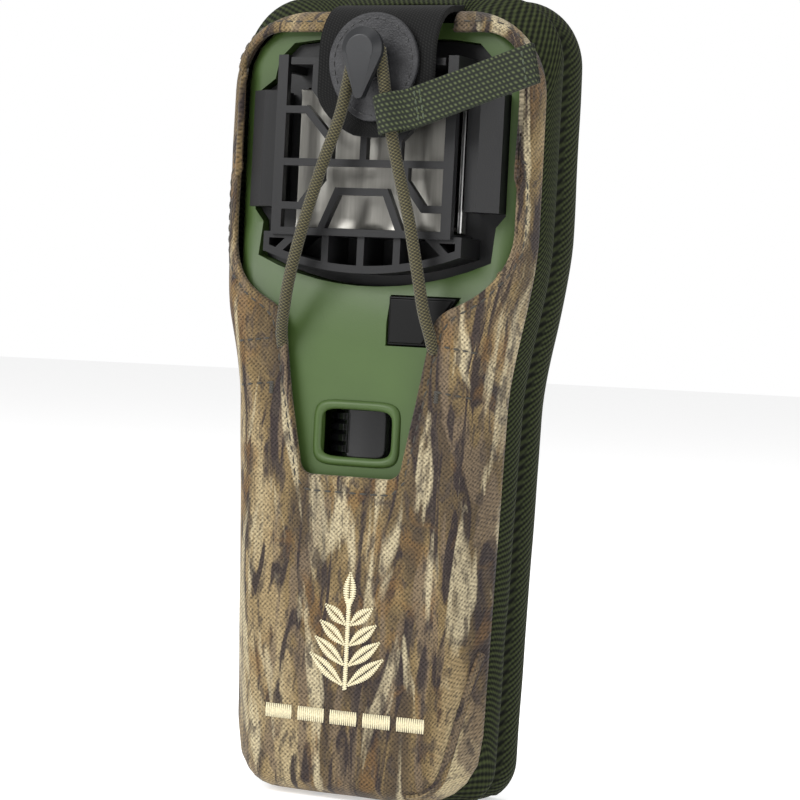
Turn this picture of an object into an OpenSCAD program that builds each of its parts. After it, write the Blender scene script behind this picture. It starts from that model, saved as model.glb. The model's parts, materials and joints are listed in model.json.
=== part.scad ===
/* [Holster] */
// Height of the holster
holster_h = 200; // [180:1:220]
// Width of the holster across its head
head_w = 86; // [82:1:92]
// Width of the holster at its waist
waist_w = 74; // [71:1:80]
// Width of the holster at its foot
foot_w = 69; // [66:1:74]
// How far the waist, where the head begins to flare, lies below the top
waist_drop = 104; // [100:1:112]
// How far below the top the head has its full width
shoulder_drop = 58; // [52:1:64]
// Radius of the upper corners
top_r = 16; // [10:1:20]
// Radius of the lower corners
foot_r = 10; // [6:1:14]
// Width of the webbing that makes the sides, front to back
webbing_w = 21; // [19:0.5:25]
// Thickness of the side webbing
webbing_t = 1.5; // [1:0.1:2]
// Depth of the front pocket ahead of the side webbing
pocket_d = 11.8; // [11:0.1:14]
// How far the front cloth's top edge lies below the top of the webbing
rim_drop = 4.4; // [2:0.2:4.6]
// Depth of the lip around the head opening, ahead of the side webbing
lip_d = 6; // [5:0.1:7]
// Thickness of the pocket cloth
cloth_t = 1.4; // [1:0.1:1.8]
// Thickness of the lining
lining_t = 0.6; // [0.4:0.1:0.7]
// How much narrower the front face is than the back, on each side at the foot
front_taper = 7; // [5:0.5:8]
// Thickness of the padded back panel
back_t = 4; // [3:0.5:5]
// Width of the opening between the lips at the head
opening_w = 77.2; // [72:0.2:78]
// How far the bottom edge of the opening lies below the top
opening_drop = 120; // [118:1:124]
// Width of the opening near its bottom
opening_low_w = 29; // [27:0.5:32]
// Width of the opening at its neck, below the head
opening_neck_w = 41; // [38:0.5:46]

/* [Belt loop] */
// Width of the belt loop webbing
belt_loop_w = 38; // [30:1:44]
// Clear height inside the belt loop, for the belt
belt_gap_h = 60; // [50:1:64]
// Clear depth inside the belt loop
belt_gap_d = 4.6; // [4.2:0.1:6]
// How far the top of the belt loop lies below the top
belt_loop_drop = 24; // [16:1:30]

/* [Repeller] */
// Gap between the repeller and the holster at the front
unit_gap = 0.5; // [0.4:0.1:0.8]
// Gap between the repeller's sides and the side webbing
unit_side_gap = 1.4; // [1.2:0.1:2]
// Height of the repeller's foot inside the holster
unit_foot_z = 3; // [2.5:0.5:5]
// How far the repeller's top lies below the holster's
unit_top_drop = 7; // [6:0.5:10]
// Wall thickness of the repeller's two shells
shell_t = 2; // [1.6:0.1:2.4]
// Depth from the front pocket seam to the joint of the two shells
split_d = 5; // [4:0.5:6]
// Width of the guard's recess in the front shell
recess_w = 69; // [66:0.5:70]
// Width of the raised cage that holds a mat
cage_w = 49; // [46:0.5:52]
// Height of the raised cage
cage_h = 38.5; // [36:0.5:40]
// How far the cage's bottom edge lies below the top of the holster
cage_drop = 60.5; // [59:0.5:61]
// How far the cage stands ahead of the pocket seam
cage_d = 13.6; // [13:0.2:15]
// Clear depth of the mat slot under the cage
mat_slot_d = 4.6; // [4.4:0.1:4.8]
// Thickness of the cage bars, front to back
cage_bar_t = 2; // [1.6:0.1:2.2]
// Width of the cage bars
cage_bar_w = 1.8; // [1.4:0.1:2.4]
// Diameter of the switch dial
dial_d = 22.6; // [21:0.2:22.6]
// Height of the switch dial
dial_h = 11.6; // [11:0.2:12]
// How far the middle of the switch dial lies below the top of the holster
dial_drop = 109; // [108:0.5:110]
// Width of the window in front of the dial
window_w = 19.6; // [18:0.2:20]
// Width of the start button at its top
button_w = 18.2; // [16:0.2:18.4]
// Height of the start button
button_h = 12; // [11:0.2:12.4]
// Travel of the start button
button_travel = 3; // [2:0.5:3]
// Diameter of the fuel cartridge
cartridge_d = 18.8; // [17:0.2:18.8]
// Length of the fuel cartridge's can
cartridge_l = 62; // [56:1:62]

/* [Closure] */
// Width of the closing flap
flap_w = 31; // [28:0.5:34]
// Length of the flap below its fold
flap_l = 33; // [31:0.5:35]
// Thickness of the flap
flap_t = 1.8; // [1.4:0.1:2.2]
// Sideways place of the flap on the holster
flap_x = 3.5; // [2:0.5:5]
// Diameter of the hook's boss
boss_d = 9; // [8:0.5:11]
// Diameter of the hook's cap
cap_d = 10.8; // [9.6:0.2:12]
// Diameter of the hook's neck
neck_d = 3.8; // [3.4:0.2:4.4]
// Diameter of the elastic cord
cord_d = 3; // [2.6:0.1:3.2]
// Distance between the cord's two anchors
anchor_w = 42; // [40:0.5:44]
// How far the cord's anchors lie below the top
anchor_drop = 85; // [83:0.5:88]
// Width of the pull tab's webbing
tab_w = 9.6; // [8:0.2:11]
// Length of the pull tab
tab_l = 42; // [36:1:44]

/* [Hidden] */
$fn = 48;
eps = 0.01;

// Heights that hang from the top of the holster
waist_z = holster_h - waist_drop;
shoulder_z = holster_h - shoulder_drop;
opening_z = holster_h - opening_drop;
throat_z = shoulder_z - 24;
belt_loop_ends = 12;
belt_loop_z = holster_h - belt_loop_drop - belt_gap_h - 2 * belt_loop_ends;
unit_top_z = holster_h - unit_top_drop;
cage_z = holster_h - cage_drop;
dial_z = holster_h - dial_drop;
anchor_z = holster_h - anchor_drop;
// Depth planes, all measured from the middle of the side webbing's foot
seam_y = -8;
back_y = seam_y + webbing_w;
lip_y = seam_y - lip_d;
pocket_y = seam_y - pocket_d;
split_y = seam_y + split_d;
cage_y = seam_y - cage_d;
guard_y = lip_y + cloth_t + lining_t + unit_gap;
front_roll = 4;

function mix(a, b, t) = a + (b - a) * t;
function smooth(t) = let (c = max(0, min(1, t))) c * c * (3 - 2 * c);
function mirrored(p) = concat(p, [for (i = [len(p) - 1:-1:0]) [-p[i][0], p[i][1]]]);

// Half width of the holster's back at height z, before its corners are rounded
function flank(z) =
    z < waist_z ? mix(foot_w, waist_w, max(0, z) / waist_z) / 2
                : mix(waist_w, head_w, smooth((z - waist_z) / (shoulder_z - waist_z))) / 2;
// How far a rounded corner cuts in at height z, between the levels low and high
function corner(z, low, high, r_low, r_high) =
    z < low + r_low ? r_low - sqrt(max(0, r_low * r_low - pow(low + r_low - z, 2)))
    : z > high - r_high ? r_high - sqrt(max(0, r_high * r_high - pow(z - high + r_high, 2)))
    : 0;
function half_w(z, inset, low, high) =
    flank(z) - inset - corner(z, low, high, foot_r - inset / 2, top_r - inset / 2);
// Heights of the outline's points: close together round the corners
function levels(low, high, inset, n) =
    let (r1 = foot_r - inset / 2, r2 = top_r - inset / 2)
    concat([for (a = [0:18:90]) low + r1 * (1 - cos(a))],
           [for (i = [1:n - 1]) mix(low + r1, high - r2, i / n)],
           [for (a = [90:-18:0]) high - r2 * (1 - cos(a))]);

// The front face's depth: full over the pocket, shallow round the head
function front_y(z, back) =
    mix(pocket_y, lip_y, smooth((z - throat_z) / (shoulder_z - throat_z))) + back
    + (z < front_roll ? front_roll - sqrt(pow(front_roll, 2) - pow(front_roll - z, 2)) : 0);
function front_lean(z) = front_taper * max(0, 1 - z / (shoulder_z + 8));

// One level of a shell: a back edge, sides that lean in, and rounded front corners
function corner_curve(a, c, b, n) =
    [for (i = [0:n]) let (t = i / n) a * pow(1 - t, 2) + c * 2 * t * (1 - t) + b * t * t];
function level_ring(wb, wf, yb, yf, r, tail) =
    let (c = [wf, yf], side = [wb, yb] - c, k = min(1, r / norm(side)),
         a = c + side * k, b = c - [r, 0])
    mirrored(concat(tail > 0 ? [[wb, yb + tail]] : [], [[wb, yb]], corner_curve(a, c, b, 5)));
module loft(rings, zs) {
    m = len(rings[0]);
    n = len(rings);
    points = [for (i = [0:n - 1]) for (p = rings[i]) [p[0], p[1], zs[i]]];
    sides = [for (i = [0:n - 2]) for (j = [0:m - 1]) for (f = [0, 1])
             let (a = i * m + j, b = i * m + (j + 1) % m)
             f == 0 ? [a, b, a + m] : [b, b + m, a + m]];
    floor_face = [for (j = [m - 1:-1:0]) j];
    top_face = [for (j = [0:m - 1]) (n - 1) * m + j];
    polyhedron(points, concat([floor_face], sides, [top_face]), convexity = 6);
}
// A curved shell is one faceted skin: resize() to no size keeps its shape as it is
module one_skin() {
    resize([0, 0, 0]) children();
}
// A body with the holster's outline, drawn in from it by inset at the sides; one that cuts a
// hollow has a tail, a straight stretch behind its back edge
module shell_body(inset, front_inset, low, high, yb, back, r, tail = 0) {
    zs = levels(low, high, inset, 14);
    rings = [for (z = zs) let (wb = max(2 * r, half_w(z, inset, low, high)))
             level_ring(wb, wb - front_lean(z) - front_inset, yb, front_y(z, back), r, tail)];
    loft(rings, zs);
}
module outline(inset, low, high) {
    polygon(mirrored([for (z = levels(low, high, inset, 16)) [half_w(z, inset, low, high), z]]));
}
// A front view extruded from y_front back through depth
module from_front(y_front, depth) {
    translate([0, y_front + depth, 0]) rotate([90, 0, 0]) linear_extrude(depth) children();
}
module bar(a, b, w) {
    d = b - a;
    translate(a) rotate(atan2(d[1], d[0])) translate([0, -w / 2]) square([norm(d), w]);
}
module both_sides() {
    children();
    mirror([1, 0, 0]) children();
}

// ---- Holster ----
rim_z = holster_h - rim_drop;
opening_top_z = holster_h - 9;
opening_r = 4;
function opening_points(grow) =
    let (low = opening_low_w / 2 + grow, neck = opening_neck_w / 2 + grow,
         head = opening_w / 2 + grow, z0 = opening_z - grow, z1 = opening_top_z + grow,
         rt = top_r - 5)
    mirrored(concat(
        [for (a = [0:22.5:90]) [low - opening_r + opening_r * sin(a), z0 + opening_r * (1 - cos(a))]],
        [[mix(low, neck, 0.5), mix(z0, throat_z, 0.5)]],
        corner_curve([neck, throat_z], [neck + 0.5, throat_z + 2.5], [neck + 6, throat_z + 5.2], 4),
        corner_curve([neck + 6.4, throat_z + 5.4], [head, throat_z + 12], [head, shoulder_z], 6),
        [for (a = [0:22.5:90]) [head - rt + rt * cos(a), z1 - rt + rt * sin(a)]]));
module opening_cut(grow) {
    from_front(pocket_y - 5, pocket_d + 4) polygon(opening_points(grow));
}
module pouch_shell() color("#8a7556") one_skin() difference() {
    shell_body(0, 0, 0.4, rim_z, seam_y, 0, 4);
    shell_body(cloth_t, 0, 0.4 + cloth_t, rim_z - cloth_t, seam_y, cloth_t, 3.2, 1);
    opening_cut(0);
    rim_gap();
}
// The rim stops on each side of the flap, which is sewn in under the top webbing
module rim_gap() {
    translate([flap_x - flap_w / 2 - 0.4, pocket_y - 1, opening_top_z - 2])
        cube([flap_w + 0.8, pocket_d + 2, holster_h]);
}
module pouch_lining() color("#3b3128") one_skin() difference() {
    i = cloth_t + 0.15;
    j = i + lining_t;
    shell_body(i, 0, 0.4 + i, rim_z - i, seam_y, i, 3.4);
    shell_body(j, 0, 0.4 + j, rim_z - j, seam_y, j, 3.4, 1);
    opening_cut(-0.5);
    rim_gap();
}
module gusset_band() color("#3c4a32") from_front(seam_y, webbing_w) difference() {
    outline(0, 0, holster_h);
    outline(webbing_t, webbing_t, holster_h - webbing_t);
}
module back_panel() color("#37452e") from_front(back_y - back_t, back_t)
    outline(webbing_t, webbing_t, holster_h - webbing_t);
belt_loop_t = 1.6;
module belt_loop() color("#2d3826") translate([-belt_loop_w / 2, back_y, belt_loop_z]) {
    h = belt_gap_h + 2 * belt_loop_ends;
    difference() {
        cube([belt_loop_w, belt_gap_d + belt_loop_t, h]);
        translate([-1, -eps, belt_loop_ends]) cube([belt_loop_w + 2, belt_gap_d + eps, belt_gap_h]);
        translate([-1, belt_loop_t, -eps]) cube([belt_loop_w + 2, belt_gap_d + 1, 9]);
        translate([-1, belt_loop_t, h - 9]) cube([belt_loop_w + 2, belt_gap_d + 1, 9 + eps]);
    }
}
hem_z = 7;
module hem_strip() color("#7a6648")
    from_front(pocket_y - 0.9, 0.85)
    polygon([[flank(hem_z) - front_taper - 13, 4.6], [flank(hem_z) - front_taper - 5, 4.6],
             [flank(30) - front_taper - 4, 13], [flank(30) - front_taper - 8, 13]]);
// A stitched band of cloth on each side holds the end of the cord
anchor_y = pocket_y - 0.9;
module cord_anchors() color("#6d5a41") both_sides()
    translate([anchor_w / 2 + 0.4, anchor_y, anchor_z - 7]) cube([9, 0.85, 5.5]);
module leaf(length, width) {
    n = 8;
    polygon(concat([for (i = [0:n]) [width / 2 * sin(180 * i / n), length * i / n]],
                   [for (i = [n - 1:-1:1]) [-width / 2 * sin(180 * i / n), length * i / n]]));
}
// A plain sprig over a broken ground line, embroidered
module emblem() color("#e0d5ad") from_front(pocket_y - 0.6, 0.55) translate([2, 28]) {
    translate([-0.6, 0]) square([1.2, 22]);
    translate([0, 20]) leaf(9, 3.6);
    for (k = [0:3]) both_sides() translate([0.4, 1 + k * 5]) rotate(-52) leaf(12 - k * 1.5, 3.4);
    for (x = [-18, -9, 0, 9, 18]) translate([x - 3.4, -9]) square([6.8, 4]);
}

// ---- Repeller shells ----
unit_inset = webbing_t + unit_side_gap;
unit_back_y = back_y - back_t - 0.4;
module unit_outline(inset) {
    outline(unit_inset + inset, unit_foot_z + inset, unit_top_z - inset);
}
recess_low_z = cage_z - 12;
recess_top_z = unit_top_z - 4;
recess_arc_r = 78;
function recess_points(grow) =
    let (w = recess_w / 2 + grow, low = recess_low_z - grow)
    mirrored(concat(
        [for (i = [0.5:5.5]) let (x = (w - 2.5) * i / 5.5)
         [x, low + recess_arc_r - sqrt(pow(recess_arc_r, 2) - x * x)]],
        [[w - 2.5, cage_z + 3.5 - grow], [w, cage_z + 6.5 - grow], [w, cage_z + 36.5 + grow],
         [w - 4, cage_z + 39.5 + grow], [w - 5, recess_top_z - 5 + grow], [w - 9, recess_top_z - 1 + grow], [w - 17, recess_top_z + grow]]));
button_left = 6.9;
button_low_z = cage_z - 26.1;
function button_points(grow) =
    [[button_left - grow, button_low_z - grow],
     [button_left + button_w * 0.57 + grow * 1.4, button_low_z - grow],
     [button_left + button_w + grow * 1.4, button_low_z + button_h + grow],
     [button_left - grow, button_low_z + button_h + grow]];
window_clear = 0.35;
tray_y = guard_y + 5;
module dial_window(grow) {
    from_front(pocket_y, pocket_d) translate([-window_w / 2 - grow, dial_z - dial_h / 2 - window_clear - grow])
        square([window_w + 2 * grow, dial_h + 2 * (window_clear + grow)]);
}
module front_housing() color("#566e3e") one_skin() {
    front_back = cloth_t + lining_t + unit_gap;
    difference() {
        union() {
            difference() {
                shell_body(unit_inset, 0.8, unit_foot_z, unit_top_z, split_y, front_back, 5);
                shell_body(unit_inset + shell_t, 0.8, unit_foot_z + shell_t, unit_top_z - shell_t,
                           split_y, front_back + shell_t, 4, 1);
            }
            intersection() {
                shell_body(unit_inset, 0.8, unit_foot_z, unit_top_z, split_y, front_back, 5);
                from_front(guard_y - 4, 10.6) polygon(recess_points(shell_t));
            }
        }
        from_front(guard_y - 8, 13) polygon(recess_points(0));
        from_front(guard_y - 8, 20) translate([-22, cage_z + 1.5]) square([44, cage_h - 1.5]);
        from_front(guard_y - 14, 20) polygon(button_points(0.3));
        dial_window(0);
    }
}
screw_places = [[27, unit_foot_z + 11], [-27, unit_foot_z + 11], [32, unit_top_z - 9], [-32, unit_top_z - 9]];
screw_d = 2.6;
head_d = 5;
module rear_housing() color("#4c6237") difference() {
    union() {
        difference() {
            from_front(split_y, unit_back_y - split_y) unit_outline(0);
            from_front(split_y - eps, unit_back_y - split_y - shell_t) unit_outline(shell_t);
        }
        for (p = screw_places) translate([p[0], split_y + 0.2, p[1]]) rotate([-90, 0, 0])
            cylinder(d = 6.4, h = unit_back_y - split_y - 0.4);
        // Saddle that the igniter barrel lies in
        translate([igniter_x - 5, split_y + 4, igniter_z - 8])
            cube([10, unit_back_y - shell_t - split_y - 4 + eps, 5]);
    }
    for (p = screw_places) translate([p[0], 0, p[1]]) rotate([-90, 0, 0]) {
        translate([0, 0, split_y - 1]) cylinder(d = screw_d + 0.2, h = 30);
        translate([0, 0, unit_back_y - 2.2]) cylinder(d = head_d + 0.4, h = 5);
    }
    // The saddle is hollowed for the igniter's barrel
    translate([igniter_x, 0, igniter_z]) rotate([-90, 0, 0])
        translate([0, 0, split_y]) cylinder(d = barrel_d + 0.05, h = unit_back_y - split_y - shell_t);
}
module housing_screws() color("silver") for (p = screw_places)
    translate([p[0], unit_back_y - 2.2, p[1]]) rotate([-90, 0, 0]) {
        difference() {
            cylinder(d = head_d, h = 1.8);
            translate([0, 0, 1]) cylinder(d = 2.2, h = 1, $fn = 6);
        }
        translate([0, 0, -9]) cylinder(d = screw_d, h = 9);
    }

// ---- Heat guard ----
half_cage = cage_w / 2;
cage_top_z = cage_z + cage_h;
fan_low_z = cage_z - 9;
fan_r = 77;
fan_w = 54;
module cage_bars() {
    rail = 2.7;
    cross_z = cage_z + 18;
    translate([-half_cage, cage_z]) square([cage_w, 1.8]);
    translate([-half_cage, cross_z - cage_bar_w / 2]) square([cage_w, cage_bar_w]);
    bar([0, cross_z], [0, cage_top_z + 6], cage_bar_w);
    bar([-6.5, cage_z + 11], [6.5, cage_z + 11], cage_bar_w);
    bar([-21, cage_top_z + 4.5], [21, cage_top_z + 4.5], cage_bar_w);
    both_sides() {
        translate([half_cage - rail, cage_z]) square([rail, cage_h + 6]);
        bar([half_cage - 1, cage_z + 31], [16, cage_z + 31], cage_bar_w);
        bar([16.5, cage_z + 31.5], [9, cage_z + 23.5], cage_bar_w);
        bar([9.4, cage_z + 24.4], [9.4, cross_z], cage_bar_w);
        bar([11.6, cross_z], [11.6, cage_z + 13.5], cage_bar_w);
        bar([11.2, cage_z + 14.4], [17, cage_z + 7], cage_bar_w);
        bar([16.5, cage_z + 7.2], [half_cage - 1, cage_z + 7.2], cage_bar_w);
        bar([14, cage_top_z + 4.5], [14, cage_z + 36], cage_bar_w);
        bar([14.4, cage_z + 36.6], [6.5, cage_z + 27.5], cage_bar_w);
        bar([6.3, cage_z + 11.6], [11, cage_z + 1], cage_bar_w);
    }
}
module fan_arc(w) {
    intersection() {
        translate([0, fan_low_z + fan_r]) difference() {
            circle(r = fan_r, $fn = 96);
            circle(r = fan_r - w, $fn = 96);
        }
        translate([-fan_w / 2, fan_low_z - 1]) square([fan_w, 9]);
    }
}
module fan_bars() {
    fan_arc(1.9);
    for (x = [-9.8, 0, 9.8]) bar([x, fan_low_z + 1], [x, cage_z + 1], 1.9);
    both_sides() {
        translate([fan_w / 2 - 1.6, fan_low_z + 4.7]) square([1.6, 5]);
        bar([17.5, cage_z + 1], [23.5, fan_low_z + 4.5], 1.9);
        translate([fan_w / 2 - 7, fan_low_z + 8.1]) square([7, 1.6]);
    }
}
wing_h = 29;
wing_z = cage_z + 7;
module guard_wing() {
    // A block whose outer face leans back, with bevelled ends
    x0 = half_cage + 1.6;
    x1 = recess_w / 2 - 0.3;
    translate([0, 0, wing_z]) linear_extrude(wing_h)
        polygon([[x0, cage_y + 3.5], [x0 + 3.4, cage_y + 3], [x1, guard_y - 3.6], [x1, guard_y + 2],
                 [x0, guard_y + 2]]);
}
module heat_guard() color("#3a3a3a") {
    floor_t = 2.4;
    difference() {
        from_front(tray_y - floor_t, floor_t) polygon(recess_points(-0.3));
        from_front(tray_y - floor_t - 1, floor_t + 2)
            translate([-half_cage + 2.2, cage_z + 1]) square([cage_w - 4.4, cage_h - 2]);
    }
    from_front(cage_y, cage_bar_t) cage_bars();
    // Walls that carry the cage and the arc, and leave the slot open at the left
    from_front(cage_y + cage_bar_t - eps, tray_y - cage_y - cage_bar_t) {
        translate([-half_cage, cage_z]) square([cage_w, 1.4]);
        translate([half_cage - 1.6, cage_z + cage_h + 2]) square([1.6, 4]);
        translate([-half_cage, cage_z + cage_h + 2]) square([1.6, 4]);
        translate([-21, cage_top_z + 3.6]) square([42, 1.6]);
    }
    from_front(cage_y + 1.2, tray_y - cage_y - 1.2) fan_bars();
    both_sides() guard_wing();
}
plate_y = cage_y + cage_bar_t + mat_slot_d + 0.15;
plate_w = cage_w - 5.6;
plate_t = 1.2;
module heat_plate() color("#b8b6b0") {
    from_front(plate_y, plate_t) translate([-plate_w / 2, cage_z + 2])
        square([plate_w, cage_h - 4]);
    for (i = [-3:3]) translate([i * 6, plate_y + plate_t, cage_z + 2])
        cylinder(r = 1.4, h = cage_h - 4);
    // Feet that stand on the burner block
    for (x = [-14, 14]) translate([x - 2, plate_y + plate_t - eps, cage_z + 17])
        cube([4, burner_y - plate_y - plate_t + eps, 4]);
}
burner_y = tray_y + 2;
burner_h = 30;
burner_z = cage_z + 4;
module burner_block() color("#a9a8a4") difference() {
    translate([-17, burner_y, burner_z]) cube([34, 9, burner_h]);
    translate([0, burner_y + 4.5, burner_z - 1]) cylinder(r = 3.4, h = burner_h - 3);
    for (x = [-13, 13]) translate([x, burner_y + 4, burner_z + 5]) rotate([-90, 0, 0])
        cylinder(d = 2.2, h = 6);
}
// The burner's gas passage lies behind the recess; the fuel and the dial lie further forward
burner_axis_y = burner_y + 4.5;
fuel_y = seam_y + 2.8;
module catalyst_sleeve() color("#6f6a60") translate([0, burner_axis_y, burner_z + 10]) difference() {
    cylinder(r = 3.35, h = 15);
    translate([0, 0, -1]) cylinder(r = 2.4, h = 17);
}
tube_end_z = burner_z + 9;
nozzle_z = dial_z + 22;
module mixer_tube() color("#b08d4c") translate([0, burner_axis_y, nozzle_z + 6]) difference() {
    union() {
        cylinder(r = 3.2, h = tube_end_z - nozzle_z - 6);
        cylinder(r = 4.4, h = 4);
    }
    translate([0, 0, -1]) cylinder(r = 1.9, h = tube_end_z - nozzle_z);
    for (a = [0, 90]) rotate(a) translate([-6, 0, 7]) rotate([0, 90, 0]) cylinder(r = 1.1, h = 12);
}
module gas_nozzle() color("#c09a4a") translate([0, burner_axis_y, nozzle_z]) difference() {
    union() {
        cylinder(r = 3, h = 4, $fn = 6);
        translate([0, 0, 4 - eps]) cylinder(r = 1.8, h = 4);
    }
    translate([0, 0, -1]) cylinder(r = 0.8, h = 8);
    translate([0, 0, 6]) cylinder(r = 0.35, h = 3);
}
spindle_r = 3.5;
valve_h = 8.4;
valve_low_z = dial_z - dial_h / 2 - 0.4 - valve_h;
valve_top_z = dial_z + dial_h / 2 + 4;
module valve_body() color("#9a9c9e") translate([0, fuel_y, 0]) difference() {
    union() {
        translate([0, 0, valve_low_z]) cylinder(r = 8, h = valve_h);
        translate([0, 0, valve_low_z + 1]) cylinder(r = spindle_r, h = valve_top_z - valve_low_z - 1);
        translate([0, 0, dial_z + dial_h / 2 + 0.3]) cylinder(r = 5.5, h = 3.7);
        // Lug that bolts to the rear shell
        translate([-4, 4, valve_low_z + 0.5])
            cube([8, unit_back_y - shell_t - fuel_y - 4 - 0.02, valve_h - 1]);
    }
    translate([0, 0, valve_low_z - 1]) cylinder(r = 1.6, h = 4);
    translate([0, 0, valve_low_z + 1]) cylinder(r = 1.1, h = valve_top_z - valve_low_z);
}
// The tube slants back from the valve to the nozzle
module gas_tube() color("#b58a4a") intersection() {
    rise = nozzle_z - valve_top_z;
    slant = atan2(burner_axis_y - fuel_y, rise);
    translate([0, fuel_y, valve_top_z]) rotate([-slant, 0, 0]) difference() {
        translate([0, 0, -4]) cylinder(r = 1.7, h = rise + 10);
        translate([0, 0, -5]) cylinder(r = 1, h = rise + 12);
    }
    translate([-5, fuel_y - 8, valve_top_z]) cube([10, 25, rise]);
}
module seal_ring(r, wire) rotate_extrude() translate([r, 0]) circle(r = wire, $fn = 24);
module valve_seals() color("#1b1b1b") translate([0, fuel_y, 0]) {
    translate([0, 0, valve_low_z - 0.75]) seal_ring(3, 0.7);
    translate([0, burner_axis_y - fuel_y, nozzle_z + 5.2]) seal_ring(2.9, 0.7);
}
poppet_rest_z = dial_z - 4;
poppet_lift = 0.8;
module valve_poppet() color("#d0b060") translate([0, fuel_y, poppet_rest_z]) {
    cylinder(r = 1.06, h = 9);
    translate([0, 0, -3]) cylinder(r1 = 0.3, r2 = 1.06, h = 3.01);
}

// ---- Fuel ----
// The stem reaches up into the valve, and the cradle stands as high as the can needs
cartridge_z = valve_low_z - 8.2 - cartridge_l;
module cartridge_cradle() color("#2c2d2e") translate([0, fuel_y, unit_foot_z + shell_t]) {
    seat = cartridge_z - unit_foot_z - shell_t - 0.05;
    difference() {
        cylinder(d = cartridge_d + 1.1, h = seat + 5.85);
        translate([0, 0, seat]) cylinder(d = cartridge_d + 0.1, h = 7);
    }
}
module fuel_cartridge() color("#c9ccd0") translate([0, fuel_y, cartridge_z]) {
    rotate_extrude() polygon(concat(
        [[0, 0], [cartridge_d / 2 - 1.5, 0], [cartridge_d / 2, 1.5], [cartridge_d / 2, cartridge_l - 6]],
        [for (a = [15:15:75]) [5.2 + (cartridge_d / 2 - 5.2) * cos(a), cartridge_l - 6 + 6 * sin(a)]],
        [[5.2, cartridge_l], [0, cartridge_l]]));
}
module cartridge_collar() color("#202122") translate([0, fuel_y, cartridge_z + cartridge_l]) difference() {
    cylinder(r = 6, h = 6.4);
    translate([0, 0, 2]) cylinder(r = 4.4, h = 6);
    translate([0, 0, -1]) cylinder(r = 1.5, h = 5);
}
module cartridge_stem() color("#b9b9b9") translate([0, fuel_y, cartridge_z + cartridge_l]) difference() {
    cylinder(r = 1.45, h = 7.9);
    translate([0, 0, -1]) cylinder(r = 0.6, h = 10);
}

// ---- Switch ----
dial_bore_clear = 0.06;
grip_angle = -34;
module switch_dial() color("#0c0c0e") translate([0, fuel_y, dial_z - dial_h / 2]) {
    difference() {
        cylinder(d = dial_reach * 2, h = dial_h);
        translate([0, 0, -1]) cylinder(r = spindle_r + dial_bore_clear, h = dial_h + 2);
        for (a = [150:15:210]) rotate(a) translate([0, -dial_reach, -1])
            cylinder(r = 0.6, h = dial_h + 2);
    }
    rotate(grip_angle) for (k = [0:3]) translate([-3.1, -dial_reach - 0.9, 1 + k * 2.7])
        cube([6.2, 2.6, 1.6]);
    rotate(grip_angle) translate([-3.5, -dial_reach - 0.1, 0.8]) cube([7, 1.6, dial_h - 1.6]);
}
dial_reach = min(dial_d / 2, fuel_y - front_y(dial_z, cloth_t + lining_t + unit_gap) - 1.2);
module detent_spring() color("#c8c8c4") translate([0, fuel_y, 0]) {
    translate([-1.2, dial_reach + 0.1, dial_z - 3]) cube([2.4, 0.35, 12]);
    translate([-1.2, dial_reach + 0.1, dial_z + 8])
        cube([2.4, max(0.4, unit_back_y - shell_t - fuel_y - dial_reach - 0.12), 1.4]);
}

// ---- Igniter ----
button_face_y = pocket_y + cloth_t + lining_t + unit_gap - 0.3;
button_depth = 5;
igniter_x = button_left + button_w * 0.42;
igniter_z = button_low_z + button_h / 2;
barrel_d = 7;
barrel_y = split_y - 2.5;
plunger_d = 4;
module start_button() color("#2a2b2c") {
    from_front(button_face_y + 0.6, button_depth) polygon(button_points(0));
    from_front(button_face_y, 0.6 + eps) polygon(button_points(-0.6));
}
module igniter_plunger() color("#e8e4d8") translate([igniter_x, 0, igniter_z]) rotate([-90, 0, 0]) {
    y0 = button_face_y + 0.6 + button_depth;
    translate([0, 0, y0]) cylinder(d = plunger_d, h = barrel_y - y0 + 2.5);
    translate([0, 0, y0]) cylinder(d = 6, h = 1);
}
module igniter_body() color("#1f3f6b") translate([igniter_x, 0, igniter_z]) rotate([-90, 0, 0]) difference() {
    translate([0, 0, barrel_y]) cylinder(d = barrel_d, h = unit_back_y - shell_t - barrel_y - 0.05);
    translate([0, 0, barrel_y - 1]) cylinder(d = plunger_d + 0.1, h = 10);
}
spring_y = barrel_y + 2.5;
spring_end_y = spring_y + button_travel + 3.5;
module igniter_spring() color("#d2d2ce") translate([igniter_x, spring_y, igniter_z]) {
    l = spring_end_y - spring_y;
    difference() {
        rotate([-90, 0, 0]) cylinder(d = 3.6, h = l);
        rotate([-90, 0, 0]) translate([0, 0, -1]) cylinder(d = 2.6, h = l + 2);
        for (i = [0:3]) translate([-3, 0.7 + i * 1.5, -3]) cube([6, 0.6, 3]);
        for (i = [0:3]) translate([-3, 1.4 + i * 1.5, 0]) cube([6, 0.6, 3]);
    }
}
electrode_x = -9;
electrode_z = burner_z - 3.2;
module electrode_insulator() color("#efece4") translate([electrode_x, burner_axis_y, electrode_z - 12]) difference() {
    cylinder(r = 2, h = 12);
    translate([0, 0, -1]) cylinder(r = 0.62, h = 14);
}
module spark_electrode() color("#a8a8a8") translate([electrode_x, burner_axis_y, electrode_z - 13])
    cylinder(r = 0.6, h = 16);
wire_d = 1.3;
wire_route = [[igniter_x - barrel_d / 2 - 0.7, 3, igniter_z + 1], [6, 5, igniter_z + 2.5],
              [0, 5.4, igniter_z + 3.5], [-6, 4.4, igniter_z + 4.5], [electrode_x, 1.6, igniter_z + 5.5],
              [electrode_x, burner_axis_y, electrode_z - 13.75]];
module igniter_wire() color("#8c2b22") one_skin() tube_along(wire_route, wire_d / 2, 8, 3);
shield_y = burner_y + 9.05;
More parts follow.
